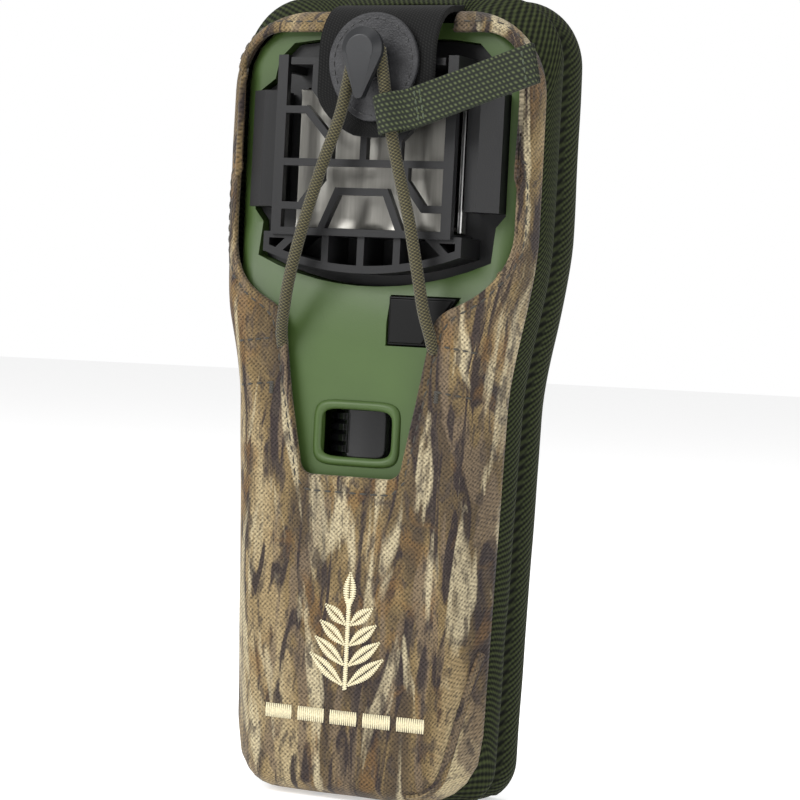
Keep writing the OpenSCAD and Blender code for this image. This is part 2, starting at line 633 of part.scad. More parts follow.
module heat_shield() color("#cfcfca") difference() {
    union() {
        from_front(shield_y, 0.5) translate([-20, burner_z - 1]) square([40, burner_h + 2]);
        from_front(shield_y, unit_back_y - shell_t - shield_y - 0.02)
            for (x = [-20, 19.5]) translate([x, burner_z + 4]) square([0.5, burner_h - 8]);
    }
    for (x = [-13, 13]) translate([x, shield_y - 1, burner_z + 5]) rotate([-90, 0, 0])
        cylinder(d = 2.3, h = 3);
}
module burner_screws() color("silver") for (x = [-13, 13])
    translate([x, burner_y + 4.2, burner_z + 5]) rotate([-90, 0, 0]) {
        cylinder(d = 2, h = 5.5);
        translate([0, 0, 5.45]) cylinder(d = 4, h = 1.1);
    }

// ---- Closure ----
fold_z = holster_h - 3.4;
fold_y = seam_y - 2.2;
hang_y = cage_y - 1.2 - flap_t;
hook_z = fold_z - 14.6;
patch_w = 24;
patch_t = 1.2;
// The flap's sewn end, under the top webbing
module flap_root() color("#2b2b2c")
    translate([flap_x - flap_w / 2, seam_y - 0.6, holster_h - webbing_t - flap_t - 0.02])
    cube([flap_w, 9, flap_t]);
module flap_face(w, l, r) {
    // Straight sides and a round lower end
    translate([-w / 2, -l + r]) square([w, l - r]);
    intersection() {
        translate([0, -l + w * 0.6]) circle(r = w * 0.6);
        translate([-w / 2, -l]) square([w, r + eps]);
    }
}
bend = 9;
module closure_flap() color("#2b2b2c") translate([flap_x, 0, fold_z]) {
    h = flap_t / 2;
    difference() {
        union() {
            translate([-flap_w / 2, 0, 0]) rotate([90, 0, 90]) linear_extrude(flap_w)
                polygon([[fold_y, h], [fold_y, -h], [hang_y + 7, -h], [hang_y + 3.4, -2.6],
                         [hang_y + flap_t, -5.4], [hang_y + flap_t, -bend], [hang_y, -bend],
                         [hang_y, -4.8], [hang_y + 2, -1.4], [hang_y + 5.6, h]]);
            from_front(hang_y, flap_t) translate([0, -bend + eps]) flap_face(flap_w, flap_l - bend, 9);
        }
        translate([0, 0, hook_z - fold_z]) from_front(hang_y - 1, flap_t + 2) circle(r = 1.5);
    }
}
module flap_patch() color("#3c3c3e") from_front(hang_y - patch_t, patch_t - 0.02)
    translate([flap_x, hook_z]) difference() {
        union() {
            circle(r = patch_w / 2);
            translate([0, -5]) circle(r = patch_w / 2 - 2.4);
        }
        circle(r = 1.5);
    }
hook_y = hang_y - patch_t;
module cord_hook() color("#3a3b3d") translate([flap_x, 0, hook_z]) {
    from_front(hook_y - 1.6, 1.58) circle(d = boss_d);
    from_front(hook_y - 1.6 - cord_d - 0.6, cord_d + 0.62) translate([0, 1]) circle(d = neck_d);
    // The cap that keeps the cord on the neck
    translate([0, hook_y - 1.6 - cord_d - 0.6, 0]) hull() {
        translate([0, 0, 2.4]) rotate([90, 0, 0]) cylinder(d = cap_d, h = 1.4, $fn = 32);
        translate([0, 0, 2]) rotate([90, 0, 0]) cylinder(d = cap_d - 3.6, h = 2.8, $fn = 32);
        translate([0, 0, -8.4]) rotate([90, 0, 0]) cylinder(d = 2.6, h = 2.2, $fn = 24);
    }
}
module hook_rivet() color("#8d8d8d") translate([flap_x, 0, hook_z]) {
    from_front(hang_y + flap_t, 0.9) circle(d = 8);
    from_front(hook_y + 0.01, patch_t + flap_t) circle(r = 1.45);
}
cord_y = hook_y - 1.6 - cord_d / 2 - 0.3;
cord_foot_y = pocket_y - cord_d / 2 - 1.2;
neck_z = hook_z + 1;
neck_turn_r = neck_d / 2 + cord_d / 2 + 0.3;
tab_x = 9.9;
tab_z = anchor_z + 54;
// The cord runs from one anchor up round the hook's neck and down to the other
cord_route = concat(
    [[-anchor_w / 2, cord_foot_y, anchor_z], [-17.2, -24.6, anchor_z + 13],
     [-12.6, -26.6, anchor_z + 28], [-7.4, -28.4, anchor_z + 42], [-2.9, cord_y, tab_z]],
    [for (a = [180:-45:0]) [flap_x + neck_turn_r * cos(a), cord_y, neck_z + neck_turn_r * sin(a)]],
    [[tab_x, cord_y, tab_z], [12.6, -28.4, anchor_z + 42], [15.8, -26.6, anchor_z + 28],
     [18.6, -24.6, anchor_z + 13],
     [anchor_w / 2, cord_foot_y, anchor_z]]);
function tangent(p, i) = let (a = p[max(0, i - 1)], b = p[min(len(p) - 1, i + 1)]) (b - a) / norm(b - a);
function spline(p, i, t) =
    let (n = len(p), a = p[max(0, i - 1)], b = p[i], c = p[min(n - 1, i + 1)], d = p[min(n - 1, i + 2)])
    0.5 * (2 * b + (c - a) * t + (2 * a - 5 * b + 4 * c - d) * t * t + (3 * b - a - 3 * c + d) * t * t * t);
module tube_along(route, r, sides, per) {
    p = [for (i = [0:len(route) - 2]) for (k = [0:per - 1]) spline(route, i, k / per)];
    q = concat(p, [route[len(route) - 1]]);
    n = len(q);
    points = [for (i = [0:n - 1]) let (t = tangent(q, i), u = [0, 1, 0], s = cross(t, u) / norm(cross(t, u)),
              v = cross(s, t)) for (j = [0:sides - 1]) let (a = 360 * j / sides)
              q[i] + r * (cos(a) * s + sin(a) * v)];
    faces = [for (i = [0:n - 2]) for (j = [0:sides - 1]) let (a = i * sides + j, b = i * sides + (j + 1) % sides)
             [a, b, b + sides, a + sides]];
    polyhedron(points, concat([[for (j = [sides - 1:-1:0]) j]], faces,
                              [[for (j = [0:sides - 1]) (n - 1) * sides + j]]), convexity = 8);
}
module closure_cord() color("#6b6440") tube_along(cord_route, cord_d / 2, 8, 2);
tab_angle = 19;
tab_t = 2.4;
// The leg of the cord leans by this much where the tab is looped round it
leg_angle = 13;
tab_bore_d = cord_d + 1.2;
tab_web_t = 0.9;
module pull_tab() color("#2f3a22") translate([tab_x, cord_y, tab_z]) difference() {
    union() {
        rotate([0, -tab_angle, 0]) translate([0, -tab_t / 2, -tab_w / 2]) cube([tab_l, tab_t, tab_w]);
        rotate([0, -leg_angle, 0]) translate([0, 0, -tab_w / 2]) cylinder(d = tab_bore_d + 2 * tab_web_t, h = tab_w);
    }
    rotate([0, -leg_angle, 0]) translate([0, 0, -tab_w]) cylinder(d = tab_bore_d, h = 2 * tab_w);
}

pouch_shell();
pouch_lining();
gusset_band();
back_panel();
belt_loop();
hem_strip();
cord_anchors();
emblem();
flap_root();
front_housing();
rear_housing();
housing_screws();
heat_guard();
heat_plate();
burner_block();
catalyst_sleeve();
mixer_tube();
gas_nozzle();
gas_tube();
valve_body();
valve_seals();
detent_spring();
fuel_cartridge();
cartridge_collar();
cartridge_stem();
cartridge_cradle();
igniter_body();
igniter_spring();
igniter_wire();
spark_electrode();
electrode_insulator();
heat_shield();
burner_screws();
start_button();
igniter_plunger();
switch_dial();
valve_poppet();
closure_flap();
flap_patch();
cord_hook();
hook_rivet();
closure_cord();
pull_tab();
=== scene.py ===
import json
import math

import bmesh
import bpy
from mathutils import Matrix, Vector, noise
from mathutils.bvhtree import BVHTree

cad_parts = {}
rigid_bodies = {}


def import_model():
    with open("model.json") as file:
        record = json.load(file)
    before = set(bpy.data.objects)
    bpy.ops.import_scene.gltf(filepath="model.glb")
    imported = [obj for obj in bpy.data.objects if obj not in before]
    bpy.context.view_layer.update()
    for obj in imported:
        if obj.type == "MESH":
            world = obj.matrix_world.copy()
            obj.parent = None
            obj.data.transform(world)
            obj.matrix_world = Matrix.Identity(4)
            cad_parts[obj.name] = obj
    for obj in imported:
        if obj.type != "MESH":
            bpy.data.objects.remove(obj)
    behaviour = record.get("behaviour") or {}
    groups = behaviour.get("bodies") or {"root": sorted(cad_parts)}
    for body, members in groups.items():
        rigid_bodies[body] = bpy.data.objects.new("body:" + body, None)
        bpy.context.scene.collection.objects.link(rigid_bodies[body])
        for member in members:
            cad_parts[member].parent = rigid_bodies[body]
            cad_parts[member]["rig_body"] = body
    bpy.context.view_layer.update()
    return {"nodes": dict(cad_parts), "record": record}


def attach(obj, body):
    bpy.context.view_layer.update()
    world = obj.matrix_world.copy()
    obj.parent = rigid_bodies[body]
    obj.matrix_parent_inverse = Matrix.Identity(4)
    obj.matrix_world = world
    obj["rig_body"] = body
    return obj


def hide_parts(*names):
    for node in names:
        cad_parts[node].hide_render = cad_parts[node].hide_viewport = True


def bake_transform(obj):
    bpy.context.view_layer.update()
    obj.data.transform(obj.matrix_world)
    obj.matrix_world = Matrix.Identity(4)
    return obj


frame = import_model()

MM = 0.001
scene = bpy.context.scene

# ---- Camera and light: angles in degrees, distances in metres ----
VIEW_TURN, VIEW_RISE, VIEW_ROLL = 25.0, 1.5, 2.9
VIEW_SPOT = (3.3, 0, 99.5)  # in millimetres
VIEW_DISTANCE = 0.7
LENS_MM, SENSOR_MM = 124.9, 36.0
HOLSTER_MIDDLE = Vector((0, 0, 0.1))
FILL_LIGHT = 0.42


def aim_camera():
    """A long lens from the front right, tipped so that the holster leans a little."""
    azimuth, elevation, roll = (math.radians(a) for a in (VIEW_TURN, VIEW_RISE, VIEW_ROLL))
    target = Vector(VIEW_SPOT) * MM
    back = Vector((math.sin(azimuth) * math.cos(elevation),
                   -math.cos(azimuth) * math.cos(elevation), math.sin(elevation)))
    level = Vector((math.cos(azimuth), math.sin(azimuth), 0))
    rise = back.cross(level)
    across = level * math.cos(roll) + rise * math.sin(roll)
    upward = rise * math.cos(roll) - level * math.sin(roll)
    data = bpy.data.cameras.new("camera")
    data.lens = LENS_MM
    data.sensor_width = SENSOR_MM
    data.clip_start = 0.05
    camera = bpy.data.objects.new("camera", data)
    scene.collection.objects.link(camera)
    camera.matrix_world = (Matrix.Translation(target + back * VIEW_DISTANCE)
                           @ Matrix((across, upward, back)).transposed().to_4x4())
    scene.camera = camera


def soft_light(name, place, size, power):
    """A white softbox that faces the holster's middle."""
    data = bpy.data.lights.new(name, "AREA")
    data.shape = "RECTANGLE"
    data.size, data.size_y = size
    data.energy = power
    lamp = bpy.data.objects.new(name, data)
    scene.collection.objects.link(lamp)
    lamp.location = place
    lamp.rotation_euler = (HOLSTER_MIDDLE - Vector(place)).to_track_quat("-Z", "Y").to_euler()


aim_camera()
soft_light("key_softbox", (-0.75, -1.25, 0.95), (0.9, 0.9), 24)
soft_light("side_softbox", (1.35, -0.75, 0.45), (0.5, 1.1), 8)
soft_light("top_softbox", (0.1, -0.1, 1.5), (1.2, 1.2), 8)
scene.view_settings.view_transform = "Standard"


# ---- Materials ----
def colour_of(sheet_hex):
    """An sRGB hex value as linear red, green, blue and alpha."""
    parts = [int(sheet_hex[i:i + 2], 16) / 255 for i in (1, 3, 5)]
    return tuple(p / 12.92 if p <= 0.04045 else ((p + 0.055) / 1.055) ** 2.4 for p in parts) + (1.0,)


def toned(sheet_hex, factor):
    """The same colour, made lighter or darker by a factor."""
    return tuple(min(1, part * factor) for part in colour_of(sheet_hex)[:3]) + (1,)


def grey(value):
    return (value, value, value, 1.0)


def put(tree, kind, inputs=None, stops=None, **settings):
    """Add one node; each input is a value or the socket that feeds it."""
    item = tree.nodes.new(kind)
    for key, value in settings.items():
        setattr(item, key, value)
    if stops:
        ramp = item.color_ramp
        while len(ramp.elements) < len(stops):
            ramp.elements.new(0.5)
        for element, (spot, tone) in zip(ramp.elements, stops):
            element.position = spot
            element.color = tone
    for key, value in (inputs or {}).items():
        if isinstance(value, bpy.types.NodeSocket):
            tree.links.new(value, item.inputs[key])
        else:
            item.inputs[key].default_value = value
    return item


def begin(name, **sockets):
    """A material with its shader; sockets are the shader's own constant values."""
    material = bpy.data.materials.new(name)
    material.use_nodes = True
    tree = material.node_tree
    tree.nodes.clear()
    shader = put(tree, "ShaderNodeBsdfPrincipled")
    put(tree, "ShaderNodeOutputMaterial", {"Surface": shader.outputs["BSDF"]})
    for key, value in sockets.items():
        shader.inputs[key.replace("_", " ")].default_value = value
    coords = put(tree, "ShaderNodeTexCoord")
    return material, tree, shader, coords


def light_studio(fill):
    """White paper all round: the walls are seen white, and light the object less than that."""
    world = bpy.data.worlds.new("studio")
    scene.world = world
    world.use_nodes = True
    tree = world.node_tree
    tree.nodes.clear()
    fill_light = put(tree, "ShaderNodeBackground", {"Color": grey(1), "Strength": fill})
    paper = put(tree, "ShaderNodeBackground", {"Color": grey(1), "Strength": 1.0})
    seen = put(tree, "ShaderNodeLightPath")
    walls = put(tree, "ShaderNodeMixShader",
                {0: seen.outputs["Is Camera Ray"], 1: fill_light.outputs[0], 2: paper.outputs[0]})
    put(tree, "ShaderNodeOutputWorld", {"Surface": walls.outputs[0]})


def dress(tree, shader, colour, height, depth_mm, strength, gloss=None):
    """Give the shader its colour and its relief, so many millimetres deep, and an uneven gloss if it
    has one."""
    relief = put(tree, "ShaderNodeBump",
                 {"Height": height, "Distance": depth_mm * MM, "Strength": strength})
    tree.links.new(relief.outputs["Normal"], shader.inputs["Normal"])
    tree.links.new(colour, shader.inputs["Base Color"])
    if gloss is not None:
        tree.links.new(gloss, shader.inputs["Roughness"])


def bands(tree, vector, spacing_mm, turn=0.0):
    """Even ribs across the first coordinate, one every spacing, turned by an angle in degrees."""
    turned = put(tree, "ShaderNodeMapping", {"Vector": vector, "Rotation": (0, 0, math.radians(turn))})
    return put(tree, "ShaderNodeTexWave",
               {"Vector": turned.outputs[0], "Scale": math.pi / 10 / (spacing_mm * MM), "Distortion": 0.0},
               wave_type="BANDS", bands_direction="X").outputs["Fac"]


def speckle(tree, vector, grain_mm, detail=2.0, stretch=(1, 1, 1), distortion=0.0):
    """Uneven patches of about this grain, drawn out where the stretch is under 1."""
    stretched = put(tree, "ShaderNodeMapping", {"Vector": vector, "Scale": stretch})
    return put(tree, "ShaderNodeTexNoise",
               {"Vector": stretched.outputs[0], "Scale": 1 / (grain_mm * MM), "Detail": detail,
                "Distortion": distortion}).outputs["Fac"]


# The bark print's layers over its ground: the patches' grain in mm, their detail, how far they are drawn
# out, their raggedness, where on the cloth their pattern is read, the levels where they start and are
# full, their strength and their colour
BARK_LAYERS = [
    (7, 4.0, 0.2, 1.0, (0.11, 0.57), 0.53, 0.60, 0.8, "#7d6c58"),
    (5.5, 5.0, 0.18, 1.4, None, 0.49, 0.41, 0.95, "#382f2f"),
    (9, 3.0, 0.5, 0.8, (0.73, 0.41), 0.57, 0.66, 0.5, "#8a683c"),
    (10, 4.0, 0.18, 1.2, (0.31, 0.17), 0.55, 0.62, 0.85, "#cdbf9c"),
    (2.2, 4.0, 0.34, 0.6, None, 0.46, 0.36, 0.75, "#4d433b"),
]


def bark_canvas():
    """600-denier polyester canvas in a plain weave, printed with bark: matt, with a painted highlight on every
    yarn crossing, painted shade in the gaps between the yarns, and a faint sheen. The crossings are 0.65 mm
    apart."""
    material, tree, shader, coords = begin("polyester_canvas_bark_print", Roughness=0.88, Sheen_Weight=0.1,
                                           Sheen_Roughness=0.5, Specular_IOR_Level=0.25)
    flat = coords.outputs["UV"]
    broad = speckle(tree, flat, 19, 4.0, (1, 0.26, 1), 0.9)
    printed = put(tree, "ShaderNodeValToRGB", {"Fac": broad},
                  stops=[(0.30, colour_of("#463b34")), (0.42, colour_of("#64543c")),
                         (0.50, colour_of("#8a7550")), (0.58, colour_of("#a5906a")),
                         (0.70, colour_of("#c4b48e"))]).outputs[0]
    for grain, detail, drawn_out, ragged, shift, none_at, full_at, full, ink in BARK_LAYERS:
        source = flat
        if shift:
            source = put(tree, "ShaderNodeMapping", {"Vector": flat, "Location": (*shift, 0)}).outputs[0]
        patches = speckle(tree, source, grain, detail, (1, drawn_out, 1), ragged)
        share = put(tree, "ShaderNodeValToRGB", {"Fac": patches},
                    stops=sorted([(none_at, grey(0)), (full_at, grey(full))], key=lambda stop: stop[0]))
        printed = put(tree, "ShaderNodeMix", {0: share.outputs[0], 6: printed, 7: colour_of(ink)},
                      data_type="RGBA").outputs[2]
    # The yarns wander a little, so the crossings aren't a ruled grid
    wander = put(tree, "ShaderNodeTexNoise", {"Vector": flat, "Scale": 1 / (3.5 * MM), "Detail": 1.0})
    shifted = put(tree, "ShaderNodeVectorMath", {0: wander.outputs["Color"], 1: (0.5, 0.5, 0.5)},
                  operation="SUBTRACT")
    yarns = put(tree, "ShaderNodeVectorMath", {0: shifted.outputs[0], 1: (0.5 * MM,) * 3, 2: flat},
                operation="MULTIPLY_ADD").outputs[0]
    warp, weft = bands(tree, yarns, 1.3), bands(tree, yarns, 1.15, 90)
    under = put(tree, "ShaderNodeMath", {0: 1.0, 1: weft}, operation="SUBTRACT").outputs[0]
    crossing = put(tree, "ShaderNodeMix", {0: warp, 2: under, 3: weft}, data_type="FLOAT").outputs[0]
    twill = bands(tree, yarns, 0.95, 33)
    height = put(tree, "ShaderNodeMath", {0: twill, 1: 0.35, 2: crossing},
                 operation="MULTIPLY_ADD").outputs[0]
    # The weave's height is painted into the colour: a painted highlight on the yarn tops and painted shade in
    # the gaps between them
    tone = put(tree, "ShaderNodeValToRGB", {"Fac": height},
               stops=[(0.1, grey(0.30)), (0.5, grey(0.70)), (1.0, grey(0.95))])
    print_with_painted_weave_light = put(tree, "ShaderNodeMix", {0: 1.0, 6: printed, 7: tone.outputs[0]},
                data_type="RGBA", blend_type="MULTIPLY").outputs[2]
    fibres = put(tree, "ShaderNodeValToRGB", {"Fac": speckle(tree, flat, 0.6, 3.0)},
                 stops=[(0.35, grey(0.5)), (0.65, grey(1.0))])
    finished = put(tree, "ShaderNodeMix", {0: 0.85, 6: print_with_painted_weave_light, 7: fibres.outputs[0]},
                   data_type="RGBA", blend_type="MULTIPLY").outputs[2]
    dress(tree, shader, finished, height, 0.17, 0.8)
    return material


BAND_W = 21.0


def mesh_webbing():
    """Knitted spacer polyester webbing: fine slanting cords a millimetre apart, broken by dark pinholes, with a
    lowered, more coarsely corded channel down its middle, darkened with painted shade."""
    material, tree, shader, coords = begin("spacer_mesh_webbing_green", Roughness=0.85, Sheen_Weight=0.03,
                                           Sheen_Roughness=0.5, Specular_IOR_Level=0.1)
    flat = coords.outputs["UV"]
    slant = put(tree, "ShaderNodeMath", {0: bands(tree, flat, 1.15, 52), 1: 0.72},
                operation="MULTIPLY").outputs[0]
    net = put(tree, "ShaderNodeMath", {0: bands(tree, flat, 0.95, -36), 1: 0.28, 2: slant},
              operation="MULTIPLY_ADD").outputs[0]
    across = put(tree, "ShaderNodeSeparateXYZ", {"Vector": flat}).outputs["X"]
    share = put(tree, "ShaderNodeMapRange", {"Value": across, "From Max": BAND_W * MM}).outputs[0]
    channel = put(tree, "ShaderNodeValToRGB", {"Fac": share},
                  stops=[(0.37, grey(0)), (0.43, grey(1)), (0.57, grey(1)), (0.63, grey(0))]).outputs[0]
    cords = bands(tree, flat, 2.1, 55)
    height = put(tree, "ShaderNodeMix", {0: channel, 2: net, 3: cords}, data_type="FLOAT").outputs[0]
    tone = put(tree, "ShaderNodeValToRGB", {"Fac": height},
               stops=[(0.15, colour_of("#10130b")), (0.5, colour_of("#262b1a")), (0.9, colour_of("#3a4126"))])
    # The channel down the middle is darkened to 0.6: painted shade in the groove
    painted_channel_shade = put(tree, "ShaderNodeMix", {0: channel, 6: grey(1.0), 7: grey(0.6)}, data_type="RGBA").outputs[2]
    shaded = put(tree, "ShaderNodeMix", {0: 1.0, 6: tone.outputs[0], 7: painted_channel_shade},
                 data_type="RGBA", blend_type="MULTIPLY").outputs[2]
    wear = put(tree, "ShaderNodeValToRGB", {"Fac": speckle(tree, flat, 0.7, 3.0)},
               stops=[(0.3, grey(0.66)), (0.7, grey(1.0))])
    finished = put(tree, "ShaderNodeMix", {0: 1.0, 6: shaded, 7: wear.outputs[0]},
                   data_type="RGBA", blend_type="MULTIPLY").outputs[2]
    dress(tree, shader, finished, height, 0.3, 0.8)
    return material


def plain_webbing(name, dark, mid, light, rib_mm, depth_mm=0.2, roughness=0.75, specular=0.3):
    """Flat nylon webbing: ribs across the strip, each broken into yarns, with pale flecks."""
    material, tree, shader, coords = begin(name, Roughness=roughness, Sheen_Weight=0.04,
                                           Specular_IOR_Level=specular)
    flat = coords.outputs["UV"]
    ribs = bands(tree, flat, rib_mm)
    yarns = bands(tree, flat, rib_mm * 0.8, 62)
    weave = put(tree, "ShaderNodeMath", {0: ribs, 1: yarns}, operation="MULTIPLY").outputs[0]
    tone = put(tree, "ShaderNodeValToRGB", {"Fac": weave},
               stops=[(0.0, colour_of(dark)), (0.35, colour_of(mid)), (0.9, colour_of(light))])
    fuzz = put(tree, "ShaderNodeValToRGB", {"Fac": speckle(tree, flat, 0.5, 3.0)},
               stops=[(0.3, grey(0.7)), (0.7, grey(1.0))])
    finished = put(tree, "ShaderNodeMix", {0: 0.8, 6: tone.outputs[0], 7: fuzz.outputs[0]},
                   data_type="RGBA", blend_type="MULTIPLY").outputs[2]
    dress(tree, shader, finished, weave, depth_mm, 0.9)
    return material


def braided_elastic():
    """Elastic cord in a braided nylon jacket: olive with pale flecks in two crossing spirals."""
    material, tree, shader, coords = begin("braided_elastic_olive", Roughness=0.7, Sheen_Weight=0.15,
                                           Specular_IOR_Level=0.3)
    flat = coords.outputs["UV"]
    left = bands(tree, flat, 0.7, 58)
    right = bands(tree, flat, 0.7, -58)
    braid = put(tree, "ShaderNodeMath", {0: left, 1: right}, operation="MAXIMUM").outputs[0]
    cross = put(tree, "ShaderNodeMath", {0: left, 1: right}, operation="MULTIPLY").outputs[0]
    tone = put(tree, "ShaderNodeValToRGB", {"Fac": braid},
               stops=[(0.35, colour_of("#17150c")), (0.7, colour_of("#36321e")), (1.0, colour_of("#4a452b"))])
    flecks = put(tree, "ShaderNodeValToRGB", {"Fac": cross}, stops=[(0.62, grey(0)), (0.9, grey(0.7))])
    finished = put(tree, "ShaderNodeMix", {0: flecks.outputs[0], 6: tone.outputs[0], 7: colour_of("#7b7350")},
                   data_type="RGBA").outputs[2]
    dress(tree, shader, finished, braid, 0.2, 0.9)
    return material


def moulded(name, hex_value, roughness, grain_mm, depth_mm, spread=0.06, specular=0.5):
    """Injection-moulded plastic with a spark-eroded grain: tiny soft bumps and slightly uneven gloss."""
    material, tree, shader, coords = begin(name, IOR=1.5, Specular_IOR_Level=specular)
    solid = coords.outputs["Object"]
    grain = speckle(tree, solid, grain_mm, 3.0)
    tone = put(tree, "ShaderNodeValToRGB", {"Fac": speckle(tree, solid, 14, 3.0)},
               stops=[(0.3, toned(hex_value, 1 - spread)), (0.7, toned(hex_value, 1 + spread))])
    gloss = put(tree, "ShaderNodeMapRange",
                {"Value": grain, "To Min": roughness - 0.05, "To Max": roughness + 0.07})
    dress(tree, shader, tone.outputs[0], grain, depth_mm, 0.6, gloss.outputs[0])
    return material


def worked_metal(name, hex_value, roughness, grain_mm, stretch):
    """Bare metal with the marks of how it was worked: drawn, rolled, turned or cast."""
    material, tree, shader, coords = begin(name, Metallic=1.0)
    marks = speckle(tree, coords.outputs["Object"], grain_mm, 4.0, stretch)
    tone = put(tree, "ShaderNodeValToRGB", {"Fac": marks},
               stops=[(0.25, toned(hex_value, 0.82)), (0.75, colour_of(hex_value))])
    gloss = put(tree, "ShaderNodeMapRange",
                {"Value": marks, "To Min": roughness * 0.8, "To Max": roughness * 1.3})
    dress(tree, shader, tone.outputs[0], marks, 0.02, 0.5, gloss.outputs[0])
    return material


def grained_leather():
    """Chrome-tanned leather, dyed black: small pebbled cells with finer creases between."""
    material, tree, shader, coords = begin("grained_leather_black", Roughness=0.5, Specular_IOR_Level=0.35)
    solid = coords.outputs["Object"]
    cells = put(tree, "ShaderNodeTexVoronoi", {"Vector": solid, "Scale": 1 / (0.8 * MM)},
                feature="DISTANCE_TO_EDGE").outputs["Distance"]
    pebble = put(tree, "ShaderNodeValToRGB", {"Fac": cells}, stops=[(0.0, grey(0)), (0.25, grey(1))])
    crease = speckle(tree, solid, 3.0, 5.0)
    tone = put(tree, "ShaderNodeValToRGB", {"Fac": crease},
               stops=[(0.3, colour_of("#1e1e20")), (0.7, colour_of("#313133"))])
    dress(tree, shader, tone.outputs[0], pebble.outputs[0], 0.06, 0.6)
    return material


def spun_thread(name, hex_value, twist_mm=0.5, roughness=0.6):
    """Twisted polyester sewing thread: fine slanting strands with a soft gloss."""
    material, tree, shader, coords = begin(name, Roughness=roughness, Sheen_Weight=0.2)
    strands = speckle(tree, coords.outputs["Object"], twist_mm, 3.0)
    tone = put(tree, "ShaderNodeValToRGB", {"Fac": strands},
               stops=[(0.3, toned(hex_value, 0.7)), (0.65, colour_of(hex_value))])
    dress(tree, shader, tone.outputs[0], strands, 0.08, 0.7)
    return material


light_studio(FILL_LIGHT)
CANVAS = bark_canvas()
MESH_WEBBING = mesh_webbing()
LOOP_WEBBING = plain_webbing("nylon_webbing_dark_green", "#11160e", "#2a3524", "#4a5a40", 1.3)
FLAP_WEBBING = plain_webbing("coated_webbing_black", "#0e0e0e", "#171717", "#232322", 0.8, 0.07, 0.7, 0.1)
TAB_WEBBING = plain_webbing("ribbed_webbing_olive", "#10140b", "#2a331e", "#555c3c", 1.25, 0.3)
BACK_CLOTH = plain_webbing("padded_nylon_green", "#1a2214", "#303c28", "#475540", 0.9, 0.1)
LINING = plain_webbing("lining_taffeta_brown", "#3a2f24", "#5a4a38", "#7a664d", 0.5, 0.05)
ELASTIC = braided_elastic()
HOUSING = moulded("abs_green_spark_grain", "#3c5124", 0.46, 0.35, 0.03, specular=0.4)
GUARD = moulded("glass_filled_nylon_black", "#19191a", 0.4, 0.3, 0.04, specular=0.3)
BUTTON = moulded("abs_black_fine_grain", "#0d0d0d", 0.42, 0.3, 0.03, specular=0.16)
DIAL = moulded("polished_abs_black", "#060607", 0.16, 1.2, 0.004, specular=0.5)
HOOK = moulded("acetal_black_satin", "#1c1d1f", 0.36, 0.4, 0.02, specular=0.4)
IGNITER = moulded("pbt_blue", "#1f3f6b", 0.4, 0.4, 0.02)
PLUNGER = moulded("acetal_white", "#e8e4d8", 0.4, 0.4, 0.01)
BLACK = moulded("nylon_black", "#202122", 0.5, 0.4, 0.03)
RUBBER = moulded("nitrile_rubber", "#1b1b1b", 0.75, 0.3, 0.02)
CERAMIC = moulded("glazed_ceramic", "#efece4", 0.2, 1.0, 0.005)
SLEEVE = moulded("pvc_sleeve_red", "#8c2b22", 0.45, 0.5, 0.01)
CATALYST = moulded("sintered_catalyst", "#6f6a60", 0.9, 0.3, 0.08)
PLATE = worked_metal("rolled_aluminium_satin", "#8f8d87", 0.36, 0.5, (1, 1, 0.05))
CAST = worked_metal("die_cast_zinc", "#a9a8a4", 0.5, 0.4, (1, 1, 1))
BRASS = worked_metal("turned_brass", "#c09a50", 0.28, 0.3, (0.2, 0.2, 1))
STEEL = worked_metal("plated_steel", "#c4c4c2", 0.3, 0.3, (1, 1, 1))
LEATHER = grained_leather()
CREAM = spun_thread("embroidery_thread_cream", "#e2d8b4", 0.45, 0.5)
SEAM_THREAD = spun_thread("sewing_thread_olive", "#2a261b")
BLACK_THREAD = spun_thread("sewing_thread_black", "#1a1a1b", 0.4, 0.45)
GREEN_THREAD = spun_thread("sewing_thread_green", "#39452d")

finishes = {
    "camo_cloth": CANVAS, "lining_cloth": LINING, "green_webbing": MESH_WEBBING, "green_panel": BACK_CLOTH,
    "loop_webbing": LOOP_WEBBING, "thread_cream": CREAM, "black_webbing": FLAP_WEBBING,
    "black_leather": LEATHER, "hook_plastic": HOOK, "elastic_cord": ELASTIC, "tab_webbing": TAB_WEBBING,
    "green_plastic": HOUSING, "guard_plastic": GUARD, "button_plastic": BUTTON, "dial_plastic": DIAL,
    "igniter_plastic": IGNITER, "white_plastic": PLUNGER, "black_plastic": BLACK, "plate_metal": PLATE,
    "cast_metal": CAST, "catalyst": CATALYST, "brass": BRASS, "steel": STEEL, "seal_rubber": RUBBER,
    "ceramic": CERAMIC, "wire_sleeve": SLEEVE,
}
slot_of = {part["node"]: part["material_slot"] for part in frame["record"]["subparts"]}
for node_name, piece in frame["nodes"].items():
    piece.data.materials.clear()
    piece.data.materials.append(finishes[slot_of[node_name]])


# ---- Making and placing pieces ----
def place(bm, name, body, material, slot, stands_for=(), soft_edge=180, scale=MM):
    """Turn a bmesh drawn in millimetres into a piece that rides on a body."""
    bmesh.ops.scale(bm, vec=(scale, scale, scale), verts=bm.verts)
    mesh = bpy.data.meshes.new(name)
    bm.to_mesh(mesh)
    bm.free()
    mesh.polygons.foreach_set("use_smooth", [True] * len(mesh.polygons))
    if soft_edge < 180:
        mesh.set_sharp_from_angle(angle=math.radians(soft_edge))
    mesh.materials.append(material)
    piece = bpy.data.objects.new(name, mesh)
    scene.collection.objects.link(piece)
    if body:
        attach(piece, body)
    if stands_for:
        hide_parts(*stands_for)
    return piece


def thicken(piece, thickness, offset=-1.0):
    """Give a sheet its thickness, behind it or, with an offset of 0, on both sides."""
    wall = piece.modifiers.new("wall", "SOLIDIFY")
    wall.thickness = thickness * MM
    wall.offset = offset
    wall.use_even_offset = False


